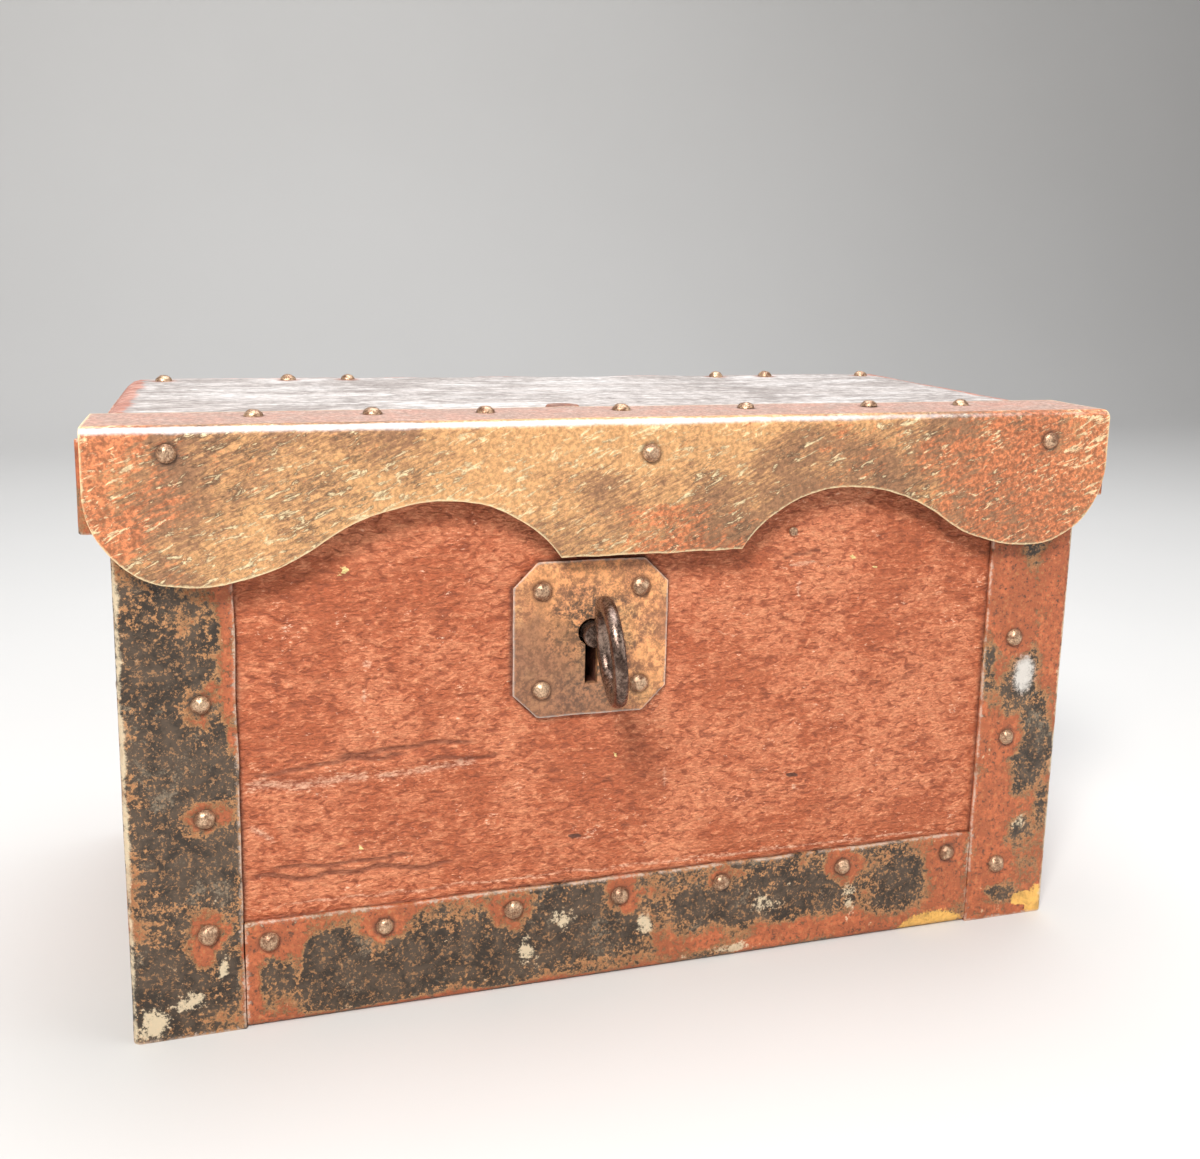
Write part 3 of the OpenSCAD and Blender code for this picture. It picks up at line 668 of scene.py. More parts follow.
def apron_material():
    """The apron: golden brown iron, brushed with fine slanting scratches, red where it was painted."""
    c = bpy.context.scene.chest_colours
    material, p, shader = new_material("Apron Iron")
    at = p.coords()
    grit = p.noise(at, 700, 6, 0.72)
    tilted = p.mapped(at, turn=(0, 24, 0))
    brushed = p.noise(p.mapped(tilted, scale=(0.2, 1, 1)), 1250, 5, 0.74, 0.4)
    bold = p.noise(p.mapped(tilted, scale=(0.28, 1, 1)), 640, 5, 0.72, 0.8)
    broad = p.noise(at, 24, 4, 0.55, 0.4)
    middle = p.noise(at, 95, 5, 0.65, 0.6)

    gold = p.add(p.add(broad, p.centred(brushed, 0.9)), p.times(p.stored("bright"), 0.22))
    colour = p.mix(p.fade(gold, 0.42, 0.62), rgba(c.brown_iron), rgba(c.gold_iron))
    dark = p.add(p.centred(p.noise(p.mapped(at, move=(5, 0, 2)), 42, 5, 0.65, 0.7), 0.7),
                 p.centred(bold, 1.8))
    dark = p.take(dark, p.times(p.stored("bright"), 0.16))
    colour = p.mix(p.times(p.fade(dark, 0.0, 0.16), 0.8), colour, rgba(c.dark_brown))

    # red paint left in the hollows, most of it where the sheet was touched least
    red = p.add(p.centred(p.noise(p.mapped(at, move=(1, 4, 7)), 44, 5, 0.64, 0.8), 1.0),
                p.centred(brushed, 1.5))
    red = p.add(red, p.times(p.stored("warm"), 0.42))
    paint = p.times(p.fade(red, 0.18, 0.36), 0.85)
    colour = p.mix(paint, colour, p.tone(rgba(c.apron_red), grit, 0.75, 1.25))

    # bright slanting scratches
    scratch = p.add(bold, p.centred(broad, 0.3))
    scratch = p.add(scratch, p.times(p.stored("bright"), 0.03))
    colour = p.mix(p.times(p.fade(scratch, 0.57, 0.63), 0.7), colour, rgba(c.scratch_and_edge_highlight))
    colour = p.tone(colour, grit, 0.74, 1.26)

    # the flange on top: dull and pinkish
    top = p.stored("top")
    flange = p.mix(p.fade(middle, 0.35, 0.65), (0.46, 0.26, 0.20, 1), (0.38, 0.25, 0.20, 1))
    flange = p.mix(p.times(p.fade(bold, 0.54, 0.66), 0.6), flange, (0.66, 0.54, 0.48, 1))
    flange = p.mix(p.times(p.fade(middle, 0.40, 0.30), 0.6), flange, (0.34, 0.15, 0.11, 1))
    colour = p.mix(top, colour, p.tone(flange, grit, 0.75, 1.25))

    # a painted highlight along the bend: a bluish-white reflection of the sky
    bend_highlight = p.add(p.stored("bend"), p.add(p.centred(middle, 0.7), p.centred(grit, 0.5)))
    colour = p.mix(p.times(p.fade(bend_highlight, 0.40, 1.0), 0.85), colour, (0.68, 0.65, 0.67, 1))
    # bright line on the cut edge: partly edge wear, partly a painted highlight
    rim = p.fade(p.add(p.stored("rim"), p.centred(grit, 2.4)), 0.0, 0.75, 1, 0)
    colour = p.mix(p.times(rim, 0.7), colour, rgba(c.scratch_and_edge_highlight))
    # a dark ring round each nail head: painted shade with dirt
    dirt_and_shade = p.times(p.fade(p.stored("nail"), 2.6, 4.2, 1, 0), 0.7)
    colour = p.mix(dirt_and_shade, colour, (0.06, 0.035, 0.025, 1))

    rough = p.add(0.38, p.times(brushed, 0.22))
    rough = p.add(rough, p.times(top, 0.10))
    rough = p.add(rough, p.times(paint, 0.12), clamp=True)
    height = p.add(p.times(brushed, 0.6), p.times(bold, 0.5))
    height = p.add(height, p.times(grit, 0.6))
    shader.inputs["Metallic"].default_value = 0.12
    feed(p, shader, Base_Color=colour, Roughness=rough, Normal=p.bump(height, 0.7, 0.3 * MM))
    return material


def lock_plate_material():
    """The lock plate: orange-brown, darkened round the keyhole, pale on its clipped rim as edge wear and a
    painted highlight.
    """
    c = bpy.context.scene.chest_colours
    material, p, shader = new_material("Lock Plate Iron")
    at = p.coords()
    speck = p.noise(at, 1500, 4, 0.72)
    grit = p.noise(at, 620, 6, 0.74)
    patch = p.noise(at, 110, 5, 0.65, 0.7)
    crumble = p.add(p.centred(grit, 0.5), p.centred(speck, 0.3))
    colour = p.mix(p.fade(p.add(patch, crumble), 0.38, 0.62), rgba(c.plate_brown),
                   rgba(c.plate_orange))
    gold = p.add(p.noise(p.mapped(at, move=(4, 2, 1)), 70, 4), crumble)
    colour = p.mix(p.times(p.fade(gold, 0.54, 0.66), 0.7), colour, rgba(c.gold_iron))
    # dark patina about the keyhole and towards the lower left
    reach = p.add(p.stored("hole"), p.centred(patch, 26))
    dark = p.times(p.fade(reach, 1, 16, 1, 0), p.fade(crumble, 0.06, -0.06))
    colour = p.mix(p.times(dark, 0.9), colour, (0.105, 0.075, 0.05, 1))
    low = p.add(p.times(p.stored("low"), 0.5), p.add(p.centred(patch, 0.8), crumble))
    colour = p.mix(p.times(p.fade(low, 0.18, 0.42), 0.75), colour, (0.21, 0.10, 0.06, 1))
    # pale rim: partly edge wear, partly a painted highlight
    rim = p.fade(p.add(p.stored("rim"), p.centred(grit, 1.6)), 0.0, 0.8, 1, 0)
    colour = p.mix(p.times(rim, 0.6), colour, (0.70, 0.60, 0.54, 1))
    # a dark ring round each nail head: painted shade with dirt
    dirt_and_shade = p.times(p.fade(p.stored("nail"), 2.5, 4.2, 1, 0), 0.75)
    colour = p.mix(dirt_and_shade, colour, (0.08, 0.035, 0.022, 1))
    colour = p.tone(colour, grit, 0.7, 1.3)
    shader.inputs["Metallic"].default_value = 0.1
    feed(p, shader, Base_Color=colour, Roughness=p.fade(grit, 0.3, 0.7, 0.46, 0.66),
         Normal=p.bump(p.add(grit, p.times(speck, 0.4)), 0.8, 0.4 * MM))
    return material


def painted_board_material(name, turn=(0, 0, 0)):
    """The red boards: thick wrinkled paint, rubbed on its high spots and dark in its cracks."""
    c = bpy.context.scene.chest_colours
    material, p, shader = new_material(name)
    at = p.mapped(p.coords(), turn=turn)
    film = p.group(shared("film"), {"Vector": at})
    grain = p.group(shared("grain"), {"Vector": at})
    mottle, peel, fibre = (film.outputs[k] for k in ("Mottle", "Peel", "Fibre"))
    colour = p.mix(p.fade(p.add(mottle, p.centred(peel, 0.6)), 0.40, 0.60),
                   rgba(c.board_deep), rgba(c.board_red))
    colour = p.mix(p.times(p.fade(grain.outputs["Streak"], 0.46, 0.68), 0.12), colour,
                   rgba(c.board_rubbed))
    rubbed = p.add(p.add(fibre, p.centred(mottle, 0.5)), p.centred(peel, 0.7))
    colour = p.mix(p.times(p.fade(rubbed, 0.50, 0.74), 0.7), colour, rgba(c.board_rubbed))
    colour = p.mix(p.times(p.fade(peel, 0.46, 0.36), 0.6), colour, rgba(c.board_dark))
    fleck = p.add(fibre, p.centred(p.noise(at, 150, 4, 0.6, 0.5), 0.6))
    colour = p.mix(p.times(p.fade(fleck, 0.68, 0.74), 0.8), colour, rgba(c.board_fleck))

    # where the board was scuffed, splashed or cracked, and painted shade with dirt where it meets the irons
    # and the lock plate
    worn = p.add(p.add(p.stored("scuff"), p.centred(fibre, 2.2)), p.centred(peel, 1.6))
    colour = p.mix(p.times(p.fade(worn, 0.45, 1.3), 0.55), colour, rgba(c.board_fleck))
    yellow = p.add(p.add(p.stored("yellow"), p.centred(fibre, 1.2)), p.centred(peel, 1.4))
    colour = p.mix(p.fade(yellow, 0.5, 0.62), colour, rgba(c.yellow_fleck))
    split = p.add(p.stored("crack"), p.centred(fibre, 0.9))
    colour = p.mix(p.times(p.fade(split, 0.12, 0.75), 0.72), colour, (0.17, 0.050, 0.026, 1))
    # painted shade with dirt along the irons and round the lock plate; points behind the outer face made dark
    dirt_and_shade = p.add(p.stored("dirt_and_shade"), p.add(p.centred(mottle, 0.8), p.centred(fibre, 0.6)))
    colour = p.mix(p.times(p.fade(dirt_and_shade, 0.3, 1.0), 0.75), colour, (0.085, 0.04, 0.03, 1))
    colour = p.tone(colour, fibre, 0.82, 1.18)

    height = p.add(film.outputs["Height"], p.times(grain.outputs["Height"], 0.2))
    shader.inputs["Specular IOR Level"].default_value = 0.4
    feed(p, shader, Base_Color=colour, Roughness=p.fade(fibre, 0.3, 0.7, 0.68, 0.48),
         Normal=p.bump(height, 1.0, 1.3 * MM))
    return material


def lid_board_material():
    """The lid: grey weathered wood with whitish streaks, red and worn along its ends and edges."""
    c = bpy.context.scene.chest_colours
    material, p, shader = new_material("Weathered Lid")
    at = p.coords()
    grain = p.group(shared("grain"), {"Vector": at})
    streak, pore = grain.outputs["Streak"], grain.outputs["Pore"]
    broad = p.noise(p.mapped(at, scale=(0.45, 1, 1)), 52, 6, 0.68, 0.5)
    grit = p.noise(p.mapped(at, scale=(0.5, 1, 1)), 520, 6, 0.74)
    colour = p.mix(p.fade(p.add(broad, p.centred(grit, 0.5)), 0.34, 0.62), rgba(c.lid_dark),
                   rgba(c.lid_grey))
    white = p.add(p.add(streak, p.centred(broad, 0.7)), p.centred(grit, 0.5))
    colour = p.mix(p.times(p.fade(white, 0.46, 0.70), 0.8), colour, rgba(c.lid_white))
    colour = p.mix(p.times(pore, 0.35), colour, (0.13, 0.11, 0.10, 1))
    edge = p.add(p.add(p.stored("margin"), p.centred(grit, 0.8)), p.centred(broad, 0.9))
    red = p.mix(p.fade(streak, 0.4, 0.62), (0.36, 0.13, 0.09, 1), (0.52, 0.29, 0.23, 1))
    colour = p.mix(p.fade(edge, 0.42, 0.66), colour, red)
    rust = p.fade(p.add(p.stored("nail"), p.centred(grit, 6)), 3.2, 6.0, 1, 0)
    colour = p.mix(p.times(rust, 0.75), colour, (0.30, 0.12, 0.08, 1))
    under = p.mix(p.fade(streak, 0.4, 0.62), (0.20, 0.115, 0.07, 1), (0.33, 0.205, 0.125, 1))
    colour = p.mix(p.stored("under"), colour, under)
    colour = p.tone(colour, grit, 0.80, 1.20)
    height = p.add(grain.outputs["Height"], p.times(grit, 0.5))
    feed(p, shader, Base_Color=colour, Roughness=p.fade(streak, 0.3, 0.7, 0.75, 0.46),
         Normal=p.bump(height, 0.8, 0.4 * MM))
    return material


def bare_board_material():
    """The floor board: bare softwood, stained and scratched."""
    material, p, shader = new_material("Bare Softwood")
    at = p.coords()
    grain = p.group(shared("grain"), {"Vector": at})
    broad = p.noise(at, 22, 5, 0.6, 0.5)
    streak = grain.outputs["Streak"]
    colour = p.mix(p.fade(streak, 0.38, 0.64), (0.22, 0.125, 0.07, 1), (0.42, 0.27, 0.155, 1))
    colour = p.mix(p.times(p.fade(broad, 0.5, 0.72), 0.6), colour, (0.13, 0.075, 0.045, 1))
    colour = p.mix(p.times(grain.outputs["Pore"], 0.5), colour, (0.08, 0.045, 0.03, 1))
    feed(p, shader, Base_Color=colour, Roughness=p.fade(streak, 0.3, 0.7, 0.8, 0.6),
         Normal=p.bump(grain.outputs["Height"], 0.8, 0.35 * MM))
    return material


def steel_material(name, dark, light, rust, metallic, rough_low, rough_high, rust_share=0.5, scale=1.0):
    """Handled or forged steel, from dark in its hollows to light where it is rubbed."""
    material, p, shader = new_material(name)
    at = p.coords()
    cloud = p.noise(at, 190 * scale, 5, 0.65, 0.5)
    grit = p.noise(at, 1300 * scale, 5, 0.7)
    shade = p.add(cloud, p.times(p.take(grit, 0.5), 0.4))
    colour = p.mix(p.fade(shade, 0.36, 0.66), rgba(dark), rgba(light))
    rusty = p.noise(p.mapped(at, move=(2, 5, 1)), 260 * scale, 5, 0.7, 0.5)
    colour = p.mix(p.times(p.fade(rusty, 1 - rust_share, 1.12 - rust_share), 0.85),
                   colour, rgba(rust))
    colour = p.tone(colour, grit, 0.75, 1.25)
    height = p.add(grit, p.times(cloud, 0.8))
    shader.inputs["Metallic"].default_value = metallic
    feed(p, shader, Base_Color=colour, Roughness=p.fade(grit, 0.3, 0.7, rough_low, rough_high),
         Normal=p.bump(height, 0.5, 0.16 * MM))
    return material


def plain_stage_material():
    """The pale floor and backdrop."""
    material, p, shader = new_material("Pale Stage")
    soft = p.noise(p.coords(), 3, 3, 0.5)
    shader.inputs["Roughness"].default_value = 0.9
    feed(p, shader, Base_Color=p.mix(soft, (0.60, 0.59, 0.575, 1), (0.64, 0.63, 0.615, 1)))
    return material


def dress(obj, material):
    """Give a piece its only material."""
    obj.data.materials.clear()
    obj.data.materials.append(material)


def register_piece(obj, body, slot, *nodes):
    """Hang a piece on its body's empty and hide the drawn nodes that it stands for. The slot is not used."""
    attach(obj, body)
    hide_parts(*nodes)


# ---------- settings ----------


class ChestSizes(bpy.types.PropertyGroup):
    """Sizes that the frame leaves open."""

    head_radius: FloatProperty(
        name="Head radius", description="Radius of a nail's domed head",
        default=2.85 * MM, min=1 * MM, unit="LENGTH", subtype="DISTANCE")
    head_height: FloatProperty(
        name="Head height", description="Height of a nail's domed head above its sheet",
        default=2.1 * MM, min=0.5 * MM, unit="LENGTH", subtype="DISTANCE")
    sheet: FloatProperty(
        name="Sheet", description="Thickness of the sheet iron on the chest",
        default=1.3 * MM, min=0.5 * MM, unit="LENGTH", subtype="DISTANCE")
    apron_sheet: FloatProperty(
        name="Apron sheet", description="Thickness of the apron's iron",
        default=1.5 * MM, min=0.5 * MM, unit="LENGTH", subtype="DISTANCE")
    bow_radius: FloatProperty(
        name="Bow radius", description="Outside radius of the key's ring bow",
        default=16 * MM, min=5 * MM, unit="LENGTH", subtype="DISTANCE")
    bow_bar: FloatProperty(
        name="Bow bar", description="Thickness of the bar that the bow is forged from",
        default=5 * MM, min=1 * MM, unit="LENGTH", subtype="DISTANCE")
    grain_depth: FloatProperty(
        name="Grain depth", description="Depth of the grain that stands up on the boards",
        default=0.16 * MM, min=0.0, unit="LENGTH", subtype="DISTANCE")
    dents: FloatProperty(
        name="Dents", description="How uneven the sheet irons are", default=1.0, min=0.0, max=2.0,
        subtype="FACTOR")
    seed: IntProperty(
        name="Seed", description="Start of the random draws that turn and tap the nails", default=5)


def colour_property(name, description, default):
    """A colour setting in linear values."""
    return FloatVectorProperty(name=name, description=description, default=default, min=0, max=1,
                               size=3, subtype="COLOR")


class ChestColours(bpy.types.PropertyGroup):
    """Colours of the chest's finishes."""

    board_red: colour_property("Board red", "Brick-red paint of the boards", (0.63, 0.198, 0.092))
    board_deep: colour_property("Board deep", "Deeper red where the paint is thick",
                                (0.46, 0.115, 0.045))
    board_dark: colour_property("Board dark", "Paint down in its pits", (0.25, 0.062, 0.028))
    board_rubbed: colour_property("Board rubbed", "Paint rubbed on its high spots", (0.72, 0.30, 0.15))
    board_fleck: colour_property("Board fleck", "Chips and scuffs in the paint", (0.82, 0.56, 0.40))
    yellow_fleck: colour_property("Yellow fleck", "Splashes of yellow paint", (0.86, 0.66, 0.28))
    lid_grey: colour_property("Lid grey", "Weathered wood of the lid", (0.46, 0.41, 0.385))
    lid_dark: colour_property("Lid dark", "Stains on the lid", (0.30, 0.26, 0.24))
    lid_white: colour_property("Lid white", "Whitish streaks on the lid", (0.62, 0.59, 0.57))
    dark_iron: colour_property("Dark iron", "Charcoal iron under the paint", (0.060, 0.041, 0.027))
    red_lead: colour_property("Red paint", "Red-orange paint left on the irons", (0.40, 0.108, 0.042))
    rubbed_iron: colour_property("Rubbed iron", "Iron rubbed to a golden haze", (0.50, 0.245, 0.10))
    pale_bloom: colour_property("Pale bloom", "Cream stains on the irons", (0.76, 0.62, 0.42))
    chip_yellow: colour_property("Chip yellow", "Yellowed chips at the lower corner", (0.78, 0.44, 0.11))
    # rims: partly rubbed wear, partly a painted highlight along the edges
    rim_wear_and_highlight: colour_property("Rubbed edge", "Rims rubbed bright", (0.74, 0.54, 0.42))
    dark_brown: colour_property("Dark brown", "The apron's stains", (0.13, 0.068, 0.036))
    brown_iron: colour_property("Brown iron", "The apron's darker brown", (0.30, 0.15, 0.075))
    gold_iron: colour_property("Gold iron", "The apron's golden brown", (0.63, 0.34, 0.145))
    apron_red: colour_property("Apron red", "Red paint left on the apron", (0.50, 0.155, 0.062))
    # the apron's scratches, and the painted highlight on its cut edge
    scratch_and_edge_highlight: colour_property("Bright scratch", "Scratches and cut edges of the apron",
                                    (0.93, 0.75, 0.44))
    plate_orange: colour_property("Plate orange", "The lock plate's rubbed paint", (0.74, 0.34, 0.14))
    plate_brown: colour_property("Plate brown", "The lock plate's browner paint", (0.44, 0.19, 0.09))


# ---------- boards ----------


def keyhole_cutter(front, wider):
    """A cutter in the keyhole's shape: a round hole with the bit's slot below it."""
    low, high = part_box("key_stem")
    x, z = (low.x + high.x) / 2, (low.z + high.z) / 2
    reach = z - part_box("key_bit")[0].z + 1.5 * MM
    radius, slot = 4.2 * MM + wider, 4.0 * MM + wider
    depth = 30 * MM if wider else 8 * MM
    deselect()
    bpy.ops.mesh.primitive_cylinder_add(vertices=40, radius=radius, depth=depth,
                                        location=(x, front, z), rotation=(math.pi / 2, 0, 0))
    hole = settle(bpy.context.object, "keyhole_round")
    slot_block = block("keyhole_slot", (x - slot / 2, front - depth / 2, z - reach - wider),
                       (x + slot / 2, front + depth / 2, z))
    finish_modifier(hole, "BOOLEAN", operation="UNION", object=slot_block, solver="EXACT")
    bpy.data.objects.remove(slot_block)
    return hole


def grain_height(u, v, seed):
    """Relief of grain in shares of its depth: u runs along the grain and v across it, in metres."""
    broad = noise.noise(Vector((u * 9, v * 330, seed)))
    fine = noise.noise(Vector((u * 32, v * 900, seed + 9)))
    slow = noise.noise(Vector((u * 14, v * 28, seed + 4)))
    return 0.5 * broad + 0.35 * fine + 1.1 * slow


def stroke(point, start, end, width, wobble=0.0, seed=0.0):
    """How strongly a point lies on a drawn mark, 0 to 1. Points are in the panel's plane."""
    run = end - start
    share = (point - start).dot(run) / run.length_squared
    if not -0.05 < share < 1.05:
        return 0.0
    fade_out = min(1.0, (share + 0.05) * 8, (1.05 - share) * 8)
    side = Vector((-run.y, run.x)).normalized()
    bent = wobble * noise.noise(Vector((share * run.length * 90, seed, 0)))
    off = (point - start).dot(side) - bent
    return fade_out * math.exp(-((off / width) ** 2))


def face_cuts(obj, direction, *counts):
    """Cut the faces that look along a direction into a fine grid, by these counts in turn."""
    edit(obj)
    pick_faces(obj, facing(direction, 0.99))
    for count in counts:
        bpy.ops.mesh.subdivide(number_cuts=count)
    done()


def board(name, node, outward, counts, seed, relief):
    """A board from its drawn node's box, with eased edges and a carved outer face."""
    depth = bpy.context.scene.chest_sizes.grain_depth
    low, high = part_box(node)
    obj = block(name, low, high)
    eased(obj, 0.7 * MM, 60)
    face_cuts(obj, outward, *counts)
    level = max(v.co.dot(outward) for v in obj.data.vertices)
    across = outward.cross(Z)
    for vert in obj.data.vertices:
        if level - vert.co.dot(outward) < 0.01 * MM:
            u, v = vert.co.dot(across), vert.co.z
            height = depth * grain_height(u, v, seed)
            if relief is not None:
                height += relief(vert.co.xz)
            vert.co += outward * (height - depth)
    smooth(obj, 30)
    return obj


PANEL_MARKS = {
    # marks on the front panel, in millimetres: start, end, half width, wobble
    "crack": [((-118, 45.5), (-58, 43.5), 0.8, 2.2), ((-112, 48), (-70, 47.5), 0.6, 2.0),
              ((-116, 78), (-72, 79.5), 0.65, 2.4), ((-92, 80.5), (-52, 82), 0.7, 2.0),
              ((-66, 76.5), (-44, 77.2), 0.6, 1.6), ((45.5, 131), (58, 134.5), 0.55, 1.4),
              ((-13, 64.5), (-9.5, 64.9), 0.6, 0.4), ((39, 61.9), (41.5, 62.1), 0.5, 0.4),
              ((50.5, 59.9), (53.5, 59.5), 0.5, 0.4), ((-22, 47.5), (-18, 47.6), 0.6, 0.5),
              ((-6, 48.9), (-2.5, 49.0), 0.5, 0.4)],
    "scuff": [((-118, 73.4), (-95, 73.6), 2.6, 1.6), ((-97, 73.2), (-82, 73.8), 2.2, 1.6),
              ((-82, 74), (-50, 74.8), 1.7, 2.0), ((47, 129.2), (57, 130.6), 1.0, 0.8),
              ((-84, 107), (-82, 107.5), 1.9, 1.0), ((51, 119), (51.5, 125), 0.7, 0.3),
              ((40.5, 62.8), (43, 63), 0.9, 0.4), ((52, 56.5), (54, 54), 1.0, 0.4),
              ((58, 82), (65, 87), 0.35, 0.3), ((-20, 46.2), (-16, 46.5), 0.8, 0.5),
              ((-117, 36.6), (116, 34.4), 0.8, 1.0), ((-84, 96), (-83.5, 101), 0.8, 0.5),
              ((8, 60), (9, 68), 0.9, 0.6), ((24, 110), (31, 107.5), 0.35, 0.3),
              ((-117, 62), (-110, 56), 1.4, 1.5)],
    "yellow": [((-90, 132.5), (-88, 136), 1.2, 1.0), ((-86.5, 52), (-84.5, 51), 0.8, 0.5),
               ((-92, 54), (-90.5, 53.6), 0.7, 0.3), ((-8.5, 73), (-7.5, 72.5), 0.8, 0.3),
               ((69, 131), (70, 131), 0.8, 0.3), ((77, 127.5), (78, 127.3), 0.6, 0.2),
               ((38.5, 139), (39.2, 139), 0.6, 0.2), ((25, 83), (25.5, 83), 0.6, 0.2)],
}
MARK_DEPTH = {"crack": -0.6 * MM, "scuff": -0.22 * MM, "yellow": 0.08 * MM}


def mark_strength(kind, point):
    """The strongest mark of one kind at a point of the front panel."""
    best = 0.0
    for index, (start, end, width, wobble) in enumerate(PANEL_MARKS[kind]):
        start, end = Vector(start) * MM, Vector(end) * MM
        if abs(point.y - (start.y + end.y) / 2) > 10 * MM + abs(end.y - start.y):
            continue
        best = max(best, stroke(point, start, end, width * MM, wobble * MM, index * 3.1))
    return best


def panel_relief(point):
    """Relief of the front panel's cracks and scuffs, and a slow lift above the long crack."""
    height = sum(MARK_DEPTH[kind] * mark_strength(kind, point) for kind in PANEL_MARKS)
    lip = stroke(point, Vector((-118, 76)) * MM, Vector((-50, 77.5)) * MM, 2.2 * MM)
    return height + 0.55 * MM * lip


def plate_gap(co, low, high):
    """Distance of a point of the front board from the lock plate's clipped outline."""
    half = (high - low) / 2
    away = co - (low + high) / 2
    x, z = abs(away.x), abs(away.z)
    corner = (x + z - half.x - half.z + PLATE_CLIP) / math.sqrt(2)
    return max(x - half.x, z - half.z, corner, 0)


class CHEST_OT_walls(bpy.types.Operator):
    """Carve the four wall boards and the floor board"""

    bl_idname = "chest.walls"
    bl_label = "Walls and Floor"

    def execute(self, context):
        base_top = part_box("base_iron_front")[1].z
        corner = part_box("corner_iron_front_left")[1]
        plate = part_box("lock_plate")
        across = painted_board_material("Red Boards")
        ends = painted_board_material("Red End Boards", turn=(0, 0, 90))
        plan = [
            ("front_panel", "front_board", FRONT, (11, 14), 3, across, panel_relief),
            ("back_panel", "back_board", BACK, (9, 9), 17, across, None),
            ("left_panel", "left_board", LEFT, (7, 8), 29, ends, None),
            ("right_panel", "right_board", RIGHT, (7, 8), 41, ends, None),
        ]
        for name, node, outward, counts, seed, material, relief in plan:
            obj = board(name, node, outward, counts, seed, relief)
            if relief:
                cutter = keyhole_cutter(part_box(node)[0].y, 1.0 * MM)
                finish_modifier(obj, "BOOLEAN", operation="DIFFERENCE", object=cutter, solver="EXACT")
                bpy.data.objects.remove(cutter)
            along_wall = outward.cross(Z)
            for kind in PANEL_MARKS:
                mark(obj, kind, lambda co: mark_strength(kind, co.xz) if relief else 0.0)
            reach = abs(corner.x if outward.y else corner.y)
            face = max(end.dot(outward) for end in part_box(node))

            # Painted shade with dirt: dark lines along the corner irons' edges, above the base irons and
            # round the lock plate; points more than 0.8 mm behind the outer face fully dark.
            def dirt_and_shade(co):
                side = reach - abs(co.dot(along_wall))
                rise = co.z - base_top
                if co.dot(outward) < face - 0.8 * MM:
                    return 3.0
                round_plate = math.exp(-plate_gap(co, *plate) / (1.1 * MM)) if outward == FRONT else 0.0
                return max(math.exp(-max(side, 0) / (1.3 * MM)), round_plate,
                           0.8 * math.exp(-max(rise, 0) / (0.9 * MM)))

            mark(obj, "dirt_and_shade", dirt_and_shade)
            dress(obj, material)
            register_piece(obj, "chest", "painted_wood", node)

        obj = softened("floor_panel", "bottom_board", 0.5 * MM)
        dress(obj, bare_board_material())
        register_piece(obj, "chest", "bare_wood", "bottom_board")
        return {"FINISHED"}


class CHEST_OT_lid_board(bpy.types.Operator):
    """Carve the lid's board, with its worn ends and edges"""

    bl_idname = "chest.lid_board"
    bl_label = "Lid Board"

    def execute(self, context):
        low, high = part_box("lid_board")
        obj = block("lid_panel", low, high)
        edit(obj, "EDGE")
        pick_edges(obj, lambda e: along(Y)(e) and e.verts[0].co.z > high.z - 0.1 * MM)
        bpy.ops.mesh.bevel(offset=6.0 * MM, segments=4, profile=0.42)
        done()
        eased(obj, 0.9 * MM, 50)
        edit(obj, "EDGE")
        pick_edges(obj, along(X, 0.2))
        for count in (12, 11):
            bpy.ops.mesh.subdivide(number_cuts=count)
            pick_edges(obj, along(X, 3 * MM))
        pick_edges(obj, along(Y, 0.1))
        for count in (9, 9):
            bpy.ops.mesh.subdivide(number_cuts=count)
            pick_edges(obj, along(Y, 3 * MM))
        done()
        depth = context.scene.chest_sizes.grain_depth
        for vert in obj.data.vertices:
            co = vert.co
            grain = grain_height(co.x, co.y, 61.0)
            if co.z > high.z - 0.4 * MM:
                vert.co.z += depth * (1.25 * grain - 1.4)
            elif co.z < low.z + 0.2 * MM:
                vert.co.z += depth * (0.6 * grain + 0.6)
            # the rear edge and the ends are worn unevenly
            rear = math.exp(-max(high.y - co.y, 0) / (3.0 * MM)) if co.z > (low.z + high.z) / 2 else 0
            end = math.exp(-max(high.x - abs(co.x), 0) / (4.0 * MM)) if co.z > low.z + 3 * MM else 0
            wear = max(0.0, wavy(co, 60, 8) + 0.25)
            vert.co.z -= (0.55 * rear + 0.8 * end) * wear * MM
            vert.co.y -= 0.5 * rear * wear * MM
            vert.co.x -= math.copysign(0.7 * end * wear * MM, co.x)
        smooth(obj, 40)
        nails = head_places(UP, "apron_top_nails", "lid_corner_nails", "hinge_upper_nails")
        mark_wear(obj, [], nails)

        def margin(co):
            side = math.exp(-max(high.x - abs(co.x) - 5 * MM, 0) / (5 * MM))
            rear = 0.75 * math.exp(-max(high.y - co.y, 0) / (3.5 * MM))
            return max(side, rear)

        mark(obj, "margin", margin)
        mark(obj, "under", lambda co: 1.0 if co.z < low.z + 1.2 * MM else 0.0)
        dress(obj, lid_board_material())
        register_piece(obj, "lid", "lid_wood", "lid_board")
        return {"FINISHED"}


# ---------- irons ----------

